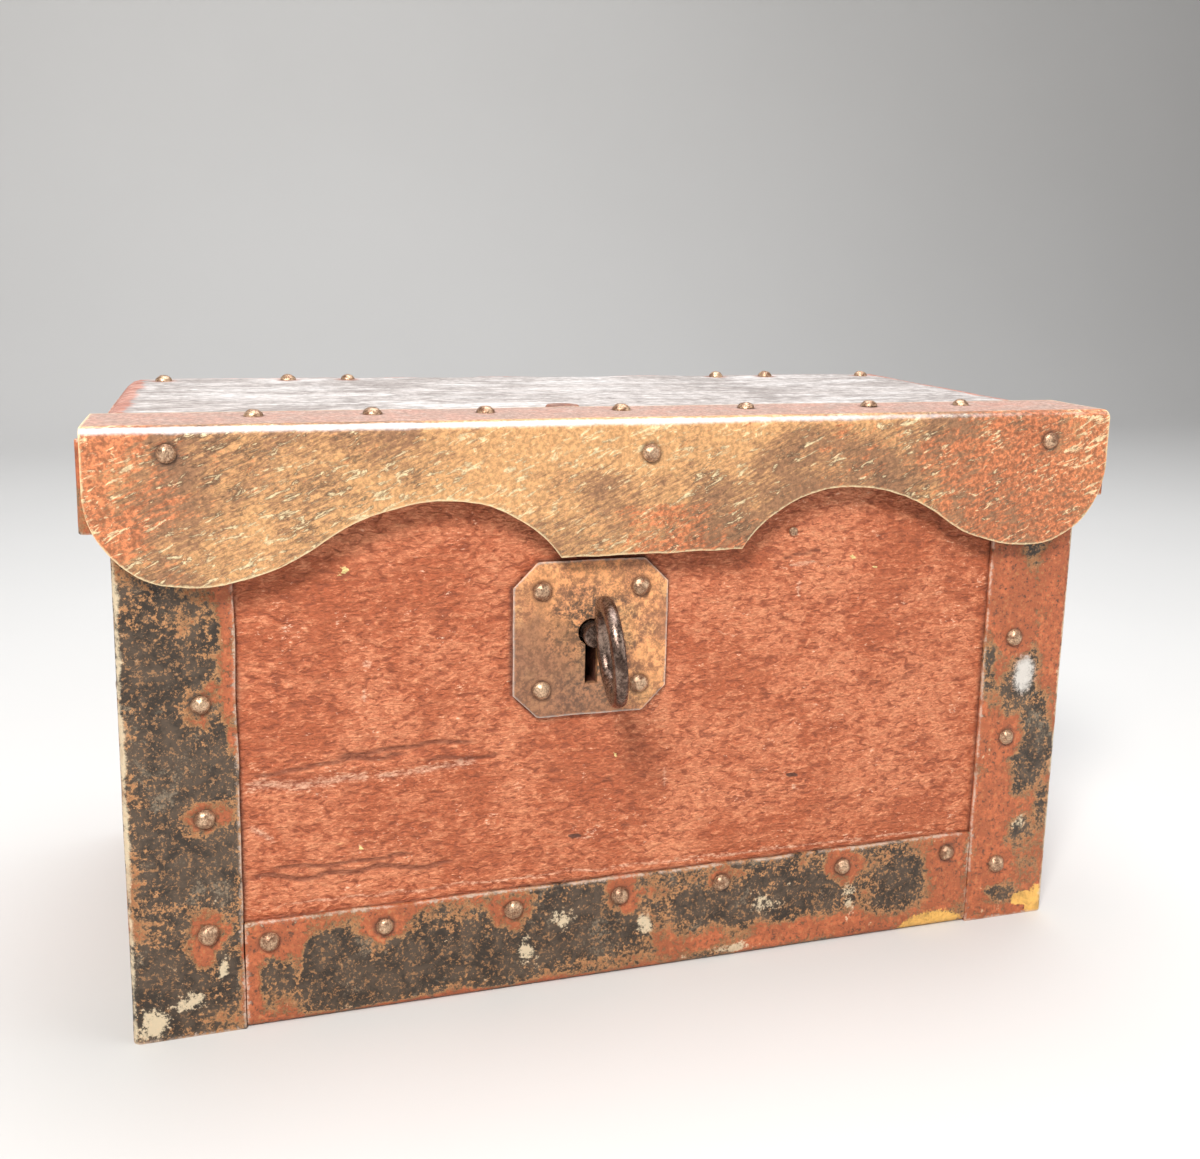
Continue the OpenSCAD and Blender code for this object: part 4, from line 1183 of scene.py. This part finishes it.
IRON_MARKS = {
    # marks on the front irons, in millimetres: middle x and z, half width, half height
    "dark": [(135, 128, 5, 10), (121, 91, 3, 9), (135, 87, 9, 14), (139, 58, 10, 17), (146, 42, 4, 9),
             (136, 33, 8, 6), (132, 9, 7, 4), (-94, 17, 14, 10), (-55, 15, 32, 11), (-12, 17, 20, 10),
             (26, 20, 16, 8), (62, 18, 14, 8), (92, 20, 9, 8), (-138, 88, 8, 13), (-124, 84, 3, 14),
             (-138, 57, 8, 11), (-124, 52, 3, 10), (-138, 20, 10, 14), (-140, 108, 9, 10)],
    "red": [(-121, 128, 2, 22), (-121, 98, 2, 14), (-131, 24, 3, 4), (-104, 19, 2, 13), (-117, 15, 3, 15),
            (57, 5, 34, 4), (111, 18, 9, 13), (-60, 1, 50, 1.2), (129, 115, 8, 14), (128, 36, 5, 22)],
    "cream": [(-37, 14, 3, 7), (-25, 21, 6, 4), (3, 15, 4, 6), (43, 16, 6, 5), (74, 15, 3, 6),
              (137, 35, 4, 4), (-145, 5, 5, 6), (-125, 20, 2, 5), (-134, 10, 6, 3), (30, 3, 14, 1.5)],
    "chip": [(106, 1.5, 13, 5), (100, 1, 8, 3), (147, 2, 5, 9), (141, 6, 5, 3)],
    "worn": [(135, 88, 5, 8.5)],
}


def mark_iron(obj, rim, nails):
    """Store the wear on an iron, and on the front ones the marks that are peculiar to them."""
    mark_wear(obj, rim, nails)
    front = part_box("corner_iron_front_left")[0].y
    for kind, spots in IRON_MARKS.items():

        def strength(co):
            if co.y > front + 3 * MM:
                return 0.0
            x, z = co.x / MM, co.z / MM
            return max(math.exp(-(((x - a) / w) ** 2) - ((z - b) / h) ** 2) for a, b, w, h in spots)

        mark(obj, kind, strength)


def corner_iron(name, node, side, depth, nails, material):
    """One corner iron: a sheet bent round the corner, with its foot. side and depth are -1 or 1."""
    sheet = bpy.context.scene.chest_sizes.sheet
    low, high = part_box(node)
    outer = Vector((abs(low.x) if side < 0 else high.x, abs(low.y) if depth < 0 else high.y))
    width = (high - low).xy
    bend = 2.2 * MM
    centre = outer - Vector((bend, bend))
    start = Vector((outer.x - width.x, outer.y))
    path = stretch(start, Vector((centre.x, outer.y)), 1.25 * MM)
    path += turn_points(centre, bend, 90, 0, 6)
    path += stretch(Vector((outer.x, centre.y)), Vector((outer.x, outer.y - width.y)), 1.25 * MM)[1:]
    path.append(Vector((outer.x, outer.y - width.y)))
    rows = 110
    tree = tree_of(nails)
    seed = 3.0 + side + 2 * depth
    dents = bpy.context.scene.chest_sizes.dents

    def place(i, j):
        flat = path[i]
        rise = low.z + (high.z - low.z) * j / (rows - 1)
        along_path = i / (len(path) - 1)
        ragged = 0.35 * MM * wavy((along_path, rise, seed), 55, seed)
        out = (flat - centre).normalized()
        if flat.x <= centre.x:
            out = Vector((0, 1))
        elif flat.y <= centre.y:
            out = Vector((1, 0))
        x, y = flat.x, flat.y
        if i == 0:
            x += ragged
        if i == len(path) - 1:
            y += ragged
        point = Vector((side * x, depth * y, rise))
        return dented(point, Vector((side * out.x, depth * out.y, 0)), tree, seed, dents * 0.8)

    obj, rim = laid_sheet(name, len(path), rows, place,
                          lambda c: Vector((side, depth, 0)), sheet)
    foot = block(name + "_foot", (low.x + 1.2 * MM * (side < 0), low.y + 1.2 * MM * (depth < 0), low.z),
                 (high.x - 1.2 * MM * (side > 0), high.y - 1.2 * MM * (depth > 0), low.z + sheet))
    finish_modifier(foot, "BEVEL", width=0.35 * MM, segments=2, limit_method="ANGLE")
    obj = join([obj, foot], name)
    mark_iron(obj, rim, nails)

    def handled(co):
        off = math.hypot(side * co.x - outer.x, depth * co.y - outer.y)
        return 0.75 * math.exp(-max(0.0, off - 1.0 * MM) / (1.5 * MM))

    mark(obj, "handled", handled)
    dress(obj, material)
    register_piece(obj, "chest", "corner_iron", node)


class CHEST_OT_corner_irons(bpy.types.Operator):
    """Bend the four corner irons"""

    bl_idname = "chest.corner_irons"
    bl_label = "Corner Irons"

    def execute(self, context):
        nails = (head_places(FRONT, "front_nails") + head_places(BACK, "back_nails")
                 + head_places(LEFT, "left_nails") + head_places(RIGHT, "right_nails"))
        dark = iron_material("Dark Corner Iron", 0.43)
        red = iron_material("Red Corner Iron", 0.60)
        middling = iron_material("Rear Corner Iron", 0.53)
        corner_iron("corner_front_left", "corner_iron_front_left", -1, -1, nails, dark)
        corner_iron("corner_front_right", "corner_iron_front_right", 1, -1, nails, red)
        corner_iron("corner_back_left", "corner_iron_back_left", -1, 1, nails, middling)
        corner_iron("corner_back_right", "corner_iron_back_right", 1, 1, nails, middling)
        return {"FINISHED"}


def base_iron(name, node, outward, nails, material):
    """One base iron: a sheet bent along the lower edge of a wall."""
    sizes = bpy.context.scene.chest_sizes
    low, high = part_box(node)
    run = outward.cross(Z)
    half = abs((high - low).dot(run)) / 2
    middle = ((low + high) / 2).dot(run)
    face = max(low.dot(outward), high.dot(outward))
    flange = abs((high - low).dot(outward))
    bend = 2.6 * MM
    centre = Vector((face - bend, low.z + bend))
    path = stretch(Vector((face, high.z)), Vector((face, centre.y)), 1.3 * MM)
    path += turn_points(centre, bend, 0, -90, 6)
    end = Vector((face - flange, low.z))
    path += stretch(Vector((centre.x, low.z)), end, 2.4 * MM)[1:] + [end]
    columns = max(2, round(2 * half / (1.5 * MM)))
    tree = tree_of(nails)
    seed = 21.0 + 3 * outward.x + 5 * outward.y

    def place(i, j):
        flat = path[j]
        along_run = middle + half * (2 * i / (columns - 1) - 1)
        if flat.x >= face - 0.01 * MM and flat.y > centre.y:
            out = Vector((1, 0))
        elif flat.y <= low.z + 0.01 * MM:
            out = Vector((0, 0))
        else:
            out = (flat - centre).normalized() * 0.5
        z = flat.y
        if j == 0:
            z += 0.5 * MM * wavy((along_run, 0, seed), 45, seed)
        point = run * along_run + outward * flat.x + Z * z
        direction = outward * out.x + Z * max(out.y, 0)
        return dented(point, direction, tree, seed, sizes.dents * 0.8) if out.length else point

    obj, rim = laid_sheet(name, columns, len(path), place, lambda c: outward, sizes.sheet)
    mark_iron(obj, rim, nails)
    dress(obj, material)
    register_piece(obj, "chest", "base_iron", node)


class CHEST_OT_base_irons(bpy.types.Operator):
    """Bend the four base irons"""

    bl_idname = "chest.base_irons"
    bl_label = "Base Irons"

    def execute(self, context):
        material = iron_material("Base Iron", 0.46)
        for name, node, outward, nails in (
            ("base_front", "base_iron_front", FRONT, "front_nails"),
            ("base_back", "base_iron_back", BACK, "back_nails"),
            ("base_left", "base_iron_left", LEFT, "left_nails"),
            ("base_right", "base_iron_right", RIGHT, "right_nails"),
        ):
            base_iron(name, node, outward, head_places(outward, nails), material)
        return {"FINISHED"}


def scallop_depth(x, half):
    """Depth of the apron's lower edge below its top at a distance x from the middle."""
    tongue, crest, lobe = 40.0 * MM, 22.2 * MM, 43.3 * MM
    crest_x, lobe_x = 62 * MM, half - LOBE_RADIUS
    x = abs(x)
    if x <= TONGUE_END:
        return tongue
    if x <= crest_x:
        rise, run = tongue - crest, crest_x - TONGUE_END
        radius = (run * run + rise * rise) / (2 * rise)
        return crest + radius - math.sqrt(radius**2 - (crest_x - x) ** 2)
    if x <= lobe_x:
        drop, run = lobe - crest, lobe_x - crest_x
        radius = (run * run + drop * drop) / (4 * drop)
        if x <= (crest_x + lobe_x) / 2:
            return crest + radius - math.sqrt(radius**2 - (x - crest_x) ** 2)
        return lobe - radius + math.sqrt(radius**2 - (lobe_x - x) ** 2)
    radius = half - lobe_x
    return lobe - radius + math.sqrt(max(0.0, radius**2 - (x - lobe_x) ** 2))


def apron_columns(half):
    """Places of the apron's columns from left to right, close together round the lobes' ends."""
    lobe_x = half - LOBE_RADIUS
    right = [i * 1.4 * MM for i in range(20)] + [TONGUE_END]
    right += [TONGUE_END + (lobe_x - TONGUE_END) * i / 76 for i in range(1, 76)]
    right += [lobe_x + LOBE_RADIUS * math.sin(math.pi / 2 * i / 26) for i in range(27)]
    return [-x for x in reversed(right[1:])] + right


class CHEST_OT_apron(bpy.types.Operator):
    """Cut and bend the lid's scalloped apron"""

    bl_idname = "chest.apron"
    bl_label = "Apron"

    def execute(self, context):
        sizes = context.scene.chest_sizes
        low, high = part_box("lid_apron")
        columns = apron_columns(high.x)
        bend = 3 * MM
        centre = Vector((low.y + bend, high.z - bend))
        flange = stretch(Vector((high.y, high.z)), Vector((centre.x, high.z)), 2.0 * MM)
        arc = turn_points(centre, bend, 90, 180, 8)
        drop_rows = 26
        rows = len(flange) + len(arc) + drop_rows
        nails = head_places(FRONT, "apron_face_nails") + head_places(UP, "apron_top_nails")
        tree = tree_of(nails)
        dents = sizes.dents

        def place(i, j):
            x = columns[i]
            if j < len(flange):
                point = Vector((x, flange[j].x, flange[j].y))
                if j == 0:
                    point.y += 0.5 * MM * wavy(point, 40, 2)
                return dented(point, UP, tree, 51, dents * 0.55)
            if j < len(flange) + len(arc):
                flat = arc[j - len(flange)]
                out = (flat - centre).normalized()
                point = Vector((x, flat.x, flat.y))
                return dented(point, Vector((0, out.x, out.y)), tree, 51, dents * 0.55)
            share = (j - len(flange) - len(arc) + 1) / drop_rows
            ragged = 0.3 * MM * wavy((x, 0, 0), 110, 4) + 0.16 * MM * wavy((x, 0, 0), 420, 9)
            depth = scallop_depth(x, high.x) + ragged - bend
            point = Vector((x, low.y, centre.y - share * depth))
            return dented(point, FRONT, tree, 51, dents * (0.55 + 0.5 * share))

        obj, rim = laid_sheet("apron", len(columns), rows, place, lambda c: FRONT + UP,
                              sizes.apron_sheet, bevel=0.4 * MM)
        mark_wear(obj, rim, nails)
        mark(obj, "top", lambda co: 1.0 if co.z > high.z - 2.4 * MM and co.y > centre.x + 0.6 * MM else 0.0)

        # The painted highlight along the bend: a bluish-white reflection of the sky, weaker towards the
        # right.
        def bend_highlight(co):
            off = math.hypot(co.y - (low.y + 0.9 * MM), co.z - (high.z - 0.9 * MM))
            # dims the painted highlight towards the right
            worn = 1 - 0.45 * min(1.0, max(0.0, (co.x - 20 * MM) / (110 * MM)))
            return worn * math.exp(-((off / (1.6 * MM)) ** 2))

        def warm(co):
            right = max(0.0, (co.x - 40 * MM) / (110 * MM))
            left = max(0.0, (-128 * MM - co.x) / (25 * MM))
            tongue = max(0.0, 1 - abs(co.x - 5 * MM) / (30 * MM)) * (co.z < high.z - 25 * MM)
            return min(1.0, right + left + 0.8 * tongue)

        def bright(co):
            middle = math.exp(-(((co.x + 18 * MM) / (62 * MM)) ** 2))
            return middle * max(0.0, 1 - (high.z - co.z) / (45 * MM))

        mark(obj, "bright", bright)
        mark(obj, "bend", bend_highlight)
        mark(obj, "warm", warm)
        dress(obj, apron_material())
        register_piece(obj, "lid", "apron_iron", "lid_apron")
        return {"FINISHED"}


class CHEST_OT_lid_side_irons(bpy.types.Operator):
    """Bend the strips along the lid's two ends"""

    bl_idname = "chest.lid_side_irons"
    bl_label = "Lid Side Irons"

    def execute(self, context):
        sheet = context.scene.chest_sizes.sheet
        material = iron_material("Lid End Iron", 0.56)
        for name, node, side, direction in (("lid_end_left", "lid_side_iron_left", -1, LEFT),
                                            ("lid_end_right", "lid_side_iron_right", 1, RIGHT)):
            low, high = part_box(node)
            nails = head_places(direction, "lid_side_nails")
            nails = [n for n in nails if n.x * side > 0]
            inner, outer = sorted((abs(low.x), abs(high.x)))
            bend = 1.8 * MM
            centre = Vector((outer - bend, low.y + bend))
            path = stretch(Vector((inner, low.y)), Vector((centre.x, low.y)), 1.5 * MM)
            path += turn_points(centre, bend, -90, 0, 5)
            end = Vector((outer, high.y))
            path += stretch(Vector((outer, centre.y)), end, 1.8 * MM)[1:] + [end]
            strip_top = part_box("lid_board")[1].z - 6.3 * MM
            rows = 16
            tree = tree_of(nails)

            def place(i, j):
                flat = path[i]
                past = (flat.y - centre.y - 0.5 * MM) / (3 * MM)
                top = high.z + (strip_top - high.z) * min(1.0, max(0.0, past))
                z = low.z + (top - low.z) * j / (rows - 1)
                if j == 0:
                    z += 0.4 * MM * wavy((flat.y, 0, side), 50, side)
                out = Vector((0, -1)) if flat.x <= centre.x else Vector((1, 0))
                point = Vector((side * flat.x, flat.y, z))
                if flat.y < centre.y:
                    return point
                return dented(point, Vector((side * out.x, out.y, 0)), tree, 33 + side, 0.7)

            obj, rim = laid_sheet(name, len(path), rows, place,
                                  lambda co: Vector((side, -0.2, 0)), sheet)
            mark_wear(obj, rim, nails)
            dress(obj, material)
            register_piece(obj, "lid", "apron_iron", node)
        return {"FINISHED"}


# ---------- nails ----------


class CHEST_OT_nails(bpy.types.Operator):
    """Drive the forged nails"""

    bl_idname = "chest.nails"
    bl_label = "Nails"

    def execute(self, context):
        seed = context.scene.chest_sizes.seed
        material = steel_material("Nail Steel", (0.25, 0.13, 0.075), (0.62, 0.42, 0.27),
                                  (0.36, 0.14, 0.07), 0.6, 0.26, 0.44, rust_share=0.42, scale=1.6)
        plan = (
            ("nails_front", FRONT, "front_nails", "chest"),
            ("nails_back", BACK, "back_nails", "chest"),
            ("nails_left", LEFT, "left_nails", "chest"),
            ("nails_right", RIGHT, "right_nails", "chest"),
            ("nails_lock_plate", FRONT, "lock_plate_nails", "chest"),
            ("nails_lock_case", BACK, "lock_case_nails", "chest"),
            ("nails_hinges_low", BACK, "hinge_lower_nails", "chest"),
            ("nails_hinges_high", UP, "hinge_upper_nails", "lid"),
            ("nails_apron_face", FRONT, "apron_face_nails", "lid"),
            ("nails_apron_top", UP, "apron_top_nails", "lid"),
            ("nails_lid_corners", UP, "lid_corner_nails", "lid"),
        )
        for index, (name, direction, node, body) in enumerate(plan):
            obj = drive_nails(name, direction, node, seed + index)
            dress(obj, material)
            register_piece(obj, body, "nail_steel", node)
        self.end_nails(seed, material)
        self.stub(material)
        return {"FINISHED"}

    def end_nails(self, seed, material):
        """The nails in both ends of the lid, half of them pointing each way."""
        pattern = forged_nail("end_pattern", seed + 20)
        rng = random.Random(seed)
        height = bpy.context.scene.chest_sizes.head_height
        copies = []
        for low, high in nail_places("lid_side_nails"):
            direction = RIGHT if low.x > 0 else LEFT
            spot = (low + high) / 2 + direction * ((high.x - low.x) / 2 - height - 0.1 * MM)
            stand = Z.rotation_difference(direction).to_matrix().to_4x4()
            spin = Matrix.Rotation(rng.uniform(0, math.tau), 4, "Z")
            copies.append(twin(pattern))
            copies[-1].data.transform(Matrix.Translation(spot) @ stand @ spin)
        bpy.data.objects.remove(pattern)
        obj = join(copies, "nails_lid_ends")
        dress(obj, material)
        register_piece(obj, "lid", "nail_steel", "lid_side_nails")

    def stub(self, material):
        """The headless nail left standing in the front panel."""
        obj = softened("nail_stub", "panel_nail", 0.3 * MM)
        dress(obj, material)
        register_piece(obj, "chest", "nail_steel", "panel_nail")


# ---------- lock and key ----------


class CHEST_OT_lock_plate(bpy.types.Operator):
    """Cut the clipped lock plate with its keyhole"""

    bl_idname = "chest.lock_plate"
    bl_label = "Lock Plate"

    def execute(self, context):
        low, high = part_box("lock_plate")
        middle = (low + high) / 2
        half, clip = (high.x - low.x) / 2, PLATE_CLIP
        nails = head_places(FRONT, "lock_plate_nails")
        tree = tree_of(nails)
        count = 61

        def place(i, j):
            across = half * (2 * i / (count - 1) - 1)
            reach = half - max(0.0, abs(across) - (half - clip))
            up = reach * (2 * j / (count - 1) - 1)
            ragged = 0.25 * MM * wavy((across, 0, up), 90, 6)
            rim = max(abs(across) / half, abs(up) / reach)
            curl = 0.5 * MM * max(0.0, rim - 0.86) / 0.14
            point = Vector((middle.x + across + ragged * (rim > 0.99), low.y + curl,
                            middle.z + up + ragged * (rim > 0.99)))
            return dented(point, FRONT, tree, 77, 0.55)

        obj, rim = laid_sheet("lock_plate_sheet", count, count, place, lambda c: FRONT,
                              high.y - low.y + 0.4 * MM, bevel=0.35 * MM)
        cutter = keyhole_cutter(low.y, 0.0)
        hole_points = [v.co.copy() for v in cutter.data.vertices if v.co.y < low.y]
        finish_modifier(obj, "BOOLEAN", operation="DIFFERENCE", object=cutter, solver="EXACT")
        bpy.data.objects.remove(cutter)
        smooth(obj, 40)
        mark_wear(obj, rim, nails)
        hole_tree = tree_of([Vector((p.x, low.y, p.z)) for p in hole_points])
        mark(obj, "low", lambda co: max(0.0, min(1.0, (middle.z - co.z + middle.x - co.x) / (44 * MM) + 0.3)))
        mark(obj, "hole", lambda co: min(hole_tree.find(Vector((co.x, low.y, co.z)))[2] / MM, 50))
        dress(obj, lock_plate_material())
        register_piece(obj, "chest", "lock_plate_iron", "lock_plate")
        return {"FINISHED"}


def turned(name, centre, profile, segments=48):
    """A round bar along Y, drawn out from a circle: profile lists (y, radius) from front to back."""
    deselect()
    start_y, start_radius = profile[0]
    bpy.ops.mesh.primitive_circle_add(vertices=segments, radius=start_radius, fill_type="NGON",
                                      location=(centre.x, start_y, centre.z),
                                      rotation=(math.pi / 2, 0, 0))
    obj = settle(bpy.context.object, name)
    edit(obj)
    bpy.ops.mesh.select_all(action="SELECT")
    radius = start_radius
    for (previous, _), (y, wanted) in zip(profile, profile[1:]):
        bpy.ops.mesh.extrude_region_move(TRANSFORM_OT_translate={"value": (0, y - previous, 0)})
        bpy.ops.transform.resize(value=(wanted / radius, 1, wanted / radius),
                                 center_override=(centre.x, y, centre.z))
        radius = wanted
    done()
    close_up(obj)
    smooth(obj, 32)
    return obj


class CHEST_OT_key(bpy.types.Operator):
    """Forge the key: ring bow, collar, pipe stem and bit"""

    bl_idname = "chest.key"
    bl_label = "Key"

    def execute(self, context):
        stem_low, stem_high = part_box("key_stem")
        sizes = context.scene.chest_sizes
        centre = (stem_low + stem_high) / 2
        face, tip = stem_low.y, stem_high.y
        stem = 3.2 * MM
        profile = [(face + 0.1 * MM, 2.6 * MM), (face + 0.35 * MM, 3.4 * MM), (face + 0.9 * MM, 3.65 * MM),
                   (face + 3.5 * MM, stem), (face + 12 * MM, stem), (tip - 0.4 * MM, stem),
                   (tip, stem - 0.4 * MM)]
        shank = turned("key_shank", centre, profile)

        bar, outer = sizes.bow_bar / 2, sizes.bow_radius
        middle = Vector((centre.x, face - outer + 1.5 * MM, centre.z))
        askew = Euler([math.radians(a) for a in (0, -6, -6.4)]).to_matrix()
        upright = Euler((0, math.pi / 2, 0)).to_matrix()
        deselect()
        bpy.ops.mesh.primitive_torus_add(major_radius=outer - bar, minor_radius=bar, major_segments=120,
                                         minor_segments=32, location=middle,
                                         rotation=(askew @ upright).to_euler())
        bow = settle(bpy.context.object, "key_ring")
        across = askew @ X
        for vert in bow.data.vertices:
            offset = vert.co - middle
            off = offset.dot(across)
            flat = 0.74 * bar * (1 + 0.06 * wavy(offset, 90, 3))
            if abs(off) > flat:
                vert.co -= across * math.copysign((abs(off) - flat) * 0.75, off)
            vert.co += offset.normalized() * 0.10 * MM * (wavy(offset, 110, 2) - 0.6)
            vert.co += offset.normalized() * 0.04 * MM * wavy(offset, 480, 5)
        smooth(bow, 60)
        key = join([shank, bow], "key_bow_and_stem")
        dress(key, steel_material("Key Steel", (0.085, 0.052, 0.040), (0.27, 0.19, 0.15),
                                  (0.17, 0.075, 0.045), 0.85, 0.20, 0.36, rust_share=0.36))
        register_piece(key, "key", "key_steel", "key_stem", "key_bow")

        bit = softened("key_bit_blade", "key_bit", 0.2 * MM)
        dress(bit, bpy.data.materials["Key Steel"])
        register_piece(bit, "key", "key_steel", "key_bit")
        return {"FINISHED"}


class CHEST_OT_lock_works(bpy.types.Operator):
    """Ease the edges of the lock's inner works, the staple and its plate"""

    bl_idname = "chest.lock_works"
    bl_label = "Lock Works"

    def execute(self, context):
        iron = steel_material("Lock Iron", (0.075, 0.055, 0.042), (0.20, 0.145, 0.105),
                              (0.26, 0.10, 0.05), 0.55, 0.36, 0.60, rust_share=0.42)
        plan = (
            ("lock_box", "lock_case", "chest"), ("lock_guides", "bolt_guides", "chest"),
            ("lock_spring", "bolt_spring", "chest"), ("lock_ward", "ward_ring", "chest"),
            ("lock_post", "drill_pin", "chest"), ("bolt_bar", "lock_bolt", "bolt"),
            ("bolt_hook", "bolt_tongue", "bolt"), ("staple_base", "staple_plate", "lid"),
            ("staple_eye", "staple_loop", "lid"),
        )
        for name, node, body in plan:
            obj = softened(name, node, 0.2 * MM)
            dress(obj, iron)
            register_piece(obj, body, "lock_iron", node)
        rivet = softened("staple_clench", "staple_rivet", 0.25 * MM)
        dress(rivet, steel_material("Clench Steel", (0.22, 0.10, 0.07), (0.46, 0.30, 0.24),
                                    (0.36, 0.14, 0.08), 0.3, 0.45, 0.65, rust_share=0.5))
        register_piece(rivet, "lid", "nail_steel", "staple_rivet")

        hinge = iron_material("Hinge Iron", 0.44)
        pin = steel_material("Hinge Pin Steel", (0.12, 0.075, 0.055), (0.34, 0.22, 0.16),
                             (0.30, 0.11, 0.06), 0.6, 0.35, 0.55)
        for side in ("left", "right"):
            for level, body in (("lower", "chest"), ("upper", "lid")):
                node = f"hinge_leaf_{level}_{side}"
                obj = softened(f"hinge_{level}_{side}", node, 0.3 * MM)
                mark_wear(obj, [], [])
                dress(obj, hinge)
                register_piece(obj, body, "hinge_iron", node)
            obj = softened(f"hinge_axle_{side}", f"hinge_pin_{side}", 0.15 * MM)
            dress(obj, pin)
            register_piece(obj, "chest", "lock_iron", f"hinge_pin_{side}")
        return {"FINISHED"}


# ---------- stage ----------


def soft_light(name, place, aim, size, power, colour):
    """A large square area light aimed at a point."""
    data = bpy.data.lights.new(name, "AREA")
    data.size = size
    data.energy = power
    data.color = colour
    light = bpy.data.objects.new(name, data)
    light.location = place
    light.rotation_euler = (Vector(aim) - Vector(place)).to_track_quat("-Z", "Y").to_euler()
    bpy.context.scene.collection.objects.link(light)


class CHEST_OT_stage(bpy.types.Operator):
    """Set the pale floor and backdrop, the soft lights and the camera"""

    bl_idname = "chest.stage"
    bl_label = "Stage"

    def execute(self, context):
        scene = context.scene
        floor_half, back, rise = 3.0, 1.1, 0.5
        deselect()
        bpy.ops.mesh.primitive_plane_add(size=2 * floor_half, location=(0, 0, 0))
        floor = bpy.context.object
        edit(floor, "EDGE")
        pick_edges(floor, lambda e: all(v.co.y > floor_half - 0.01 for v in e.verts))
        bpy.ops.transform.translate(value=(0, back - floor_half, 0))
        for index in range(12):
            turn = math.radians(90 * (index + 0.5) / 12)
            step = rise * math.pi / 24
            bpy.ops.mesh.extrude_region_move(
                TRANSFORM_OT_translate={"value": (0, step * math.cos(turn), step * math.sin(turn))})
        bpy.ops.mesh.extrude_region_move(TRANSFORM_OT_translate={"value": (0, 0, 2.4)})
        done()
        settle(floor, "stage_floor")
        smooth(floor, 60)
        dress(floor, plain_stage_material())

        soft_light("key_light", (-0.55, -0.95, 1.15), (0, 0, 0.09), 0.38, 25, (1.0, 0.975, 0.94))
        soft_light("sky_light", (0.15, 0.25, 1.35), (0, 0, 0.1), 1.0, 17, (0.93, 0.96, 1.0))
        soft_light("fill_light", (1.1, -0.7, 0.55), (0, 0, 0.08), 0.9, 4, (1.0, 0.99, 0.97))

        world = bpy.data.worlds.new("Pale Room")
        world.use_nodes = True
        world.node_tree.nodes["Background"].inputs["Color"].default_value = (0.86, 0.87, 0.9, 1)
        world.node_tree.nodes["Background"].inputs["Strength"].default_value = 0.32
        scene.world = world

        data = bpy.data.cameras.new("camera")
        data.sensor_width = 36
        data.lens = 37.3
        data.shift_y = -0.083
        data.clip_start = 0.01
        camera = bpy.data.objects.new("camera", data)
        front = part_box("corner_iron_front_left")[0].y
        camera.location = (-0.1183, front - 0.3426, 0.2217)
        camera.rotation_euler = [math.radians(a) for a in (80.03, -1.13, -16.54)]
        scene.collection.objects.link(camera)
        scene.camera = camera
        scene.view_settings.view_transform = "Standard"
        return {"FINISHED"}


# ---------- panel and registration ----------


class CHEST_PT_panel(bpy.types.Panel):
    """Lists the chest's settings and its steps in building order"""

    bl_idname = "CHEST_PT_panel"
    bl_label = "Money Chest"
    bl_space_type = "VIEW_3D"
    bl_region_type = "UI"
    bl_category = "Money Chest"

    def draw(self, context):
        layout = self.layout
        for group in (context.scene.chest_sizes, context.scene.chest_colours):
            column = layout.column(align=True)
            for name in group.__annotations__:
                column.prop(group, name)
        for operator in OPERATORS:
            layout.operator(operator.bl_idname)


OPERATORS = (
    CHEST_OT_stage,
    CHEST_OT_walls,
    CHEST_OT_lid_board,
    CHEST_OT_corner_irons,
    CHEST_OT_base_irons,
    CHEST_OT_apron,
    CHEST_OT_lid_side_irons,
    CHEST_OT_nails,
    CHEST_OT_lock_plate,
    CHEST_OT_key,
    CHEST_OT_lock_works,
)


def register():
    """Register the settings, the operators and the panel."""
    for cls in (ChestSizes, ChestColours, *OPERATORS, CHEST_PT_panel):
        bpy.utils.register_class(cls)
    bpy.types.Scene.chest_sizes = PointerProperty(type=ChestSizes)
    bpy.types.Scene.chest_colours = PointerProperty(type=ChestColours)


def unregister():
    """Take everything away again."""
    del bpy.types.Scene.chest_sizes
    del bpy.types.Scene.chest_colours
    for cls in (CHEST_PT_panel, *reversed(OPERATORS), ChestColours, ChestSizes):
        bpy.utils.unregister_class(cls)


def main():
    """Build the whole chest."""
    register()
    bpy.ops.chest.stage()
    bpy.ops.chest.walls()
    bpy.ops.chest.lid_board()
    bpy.ops.chest.corner_irons()
    bpy.ops.chest.base_irons()
    bpy.ops.chest.apron()
    bpy.ops.chest.lid_side_irons()
    bpy.ops.chest.nails()
    bpy.ops.chest.lock_plate()
    bpy.ops.chest.key()
    bpy.ops.chest.lock_works()


if __name__ == "__main__":
    main()
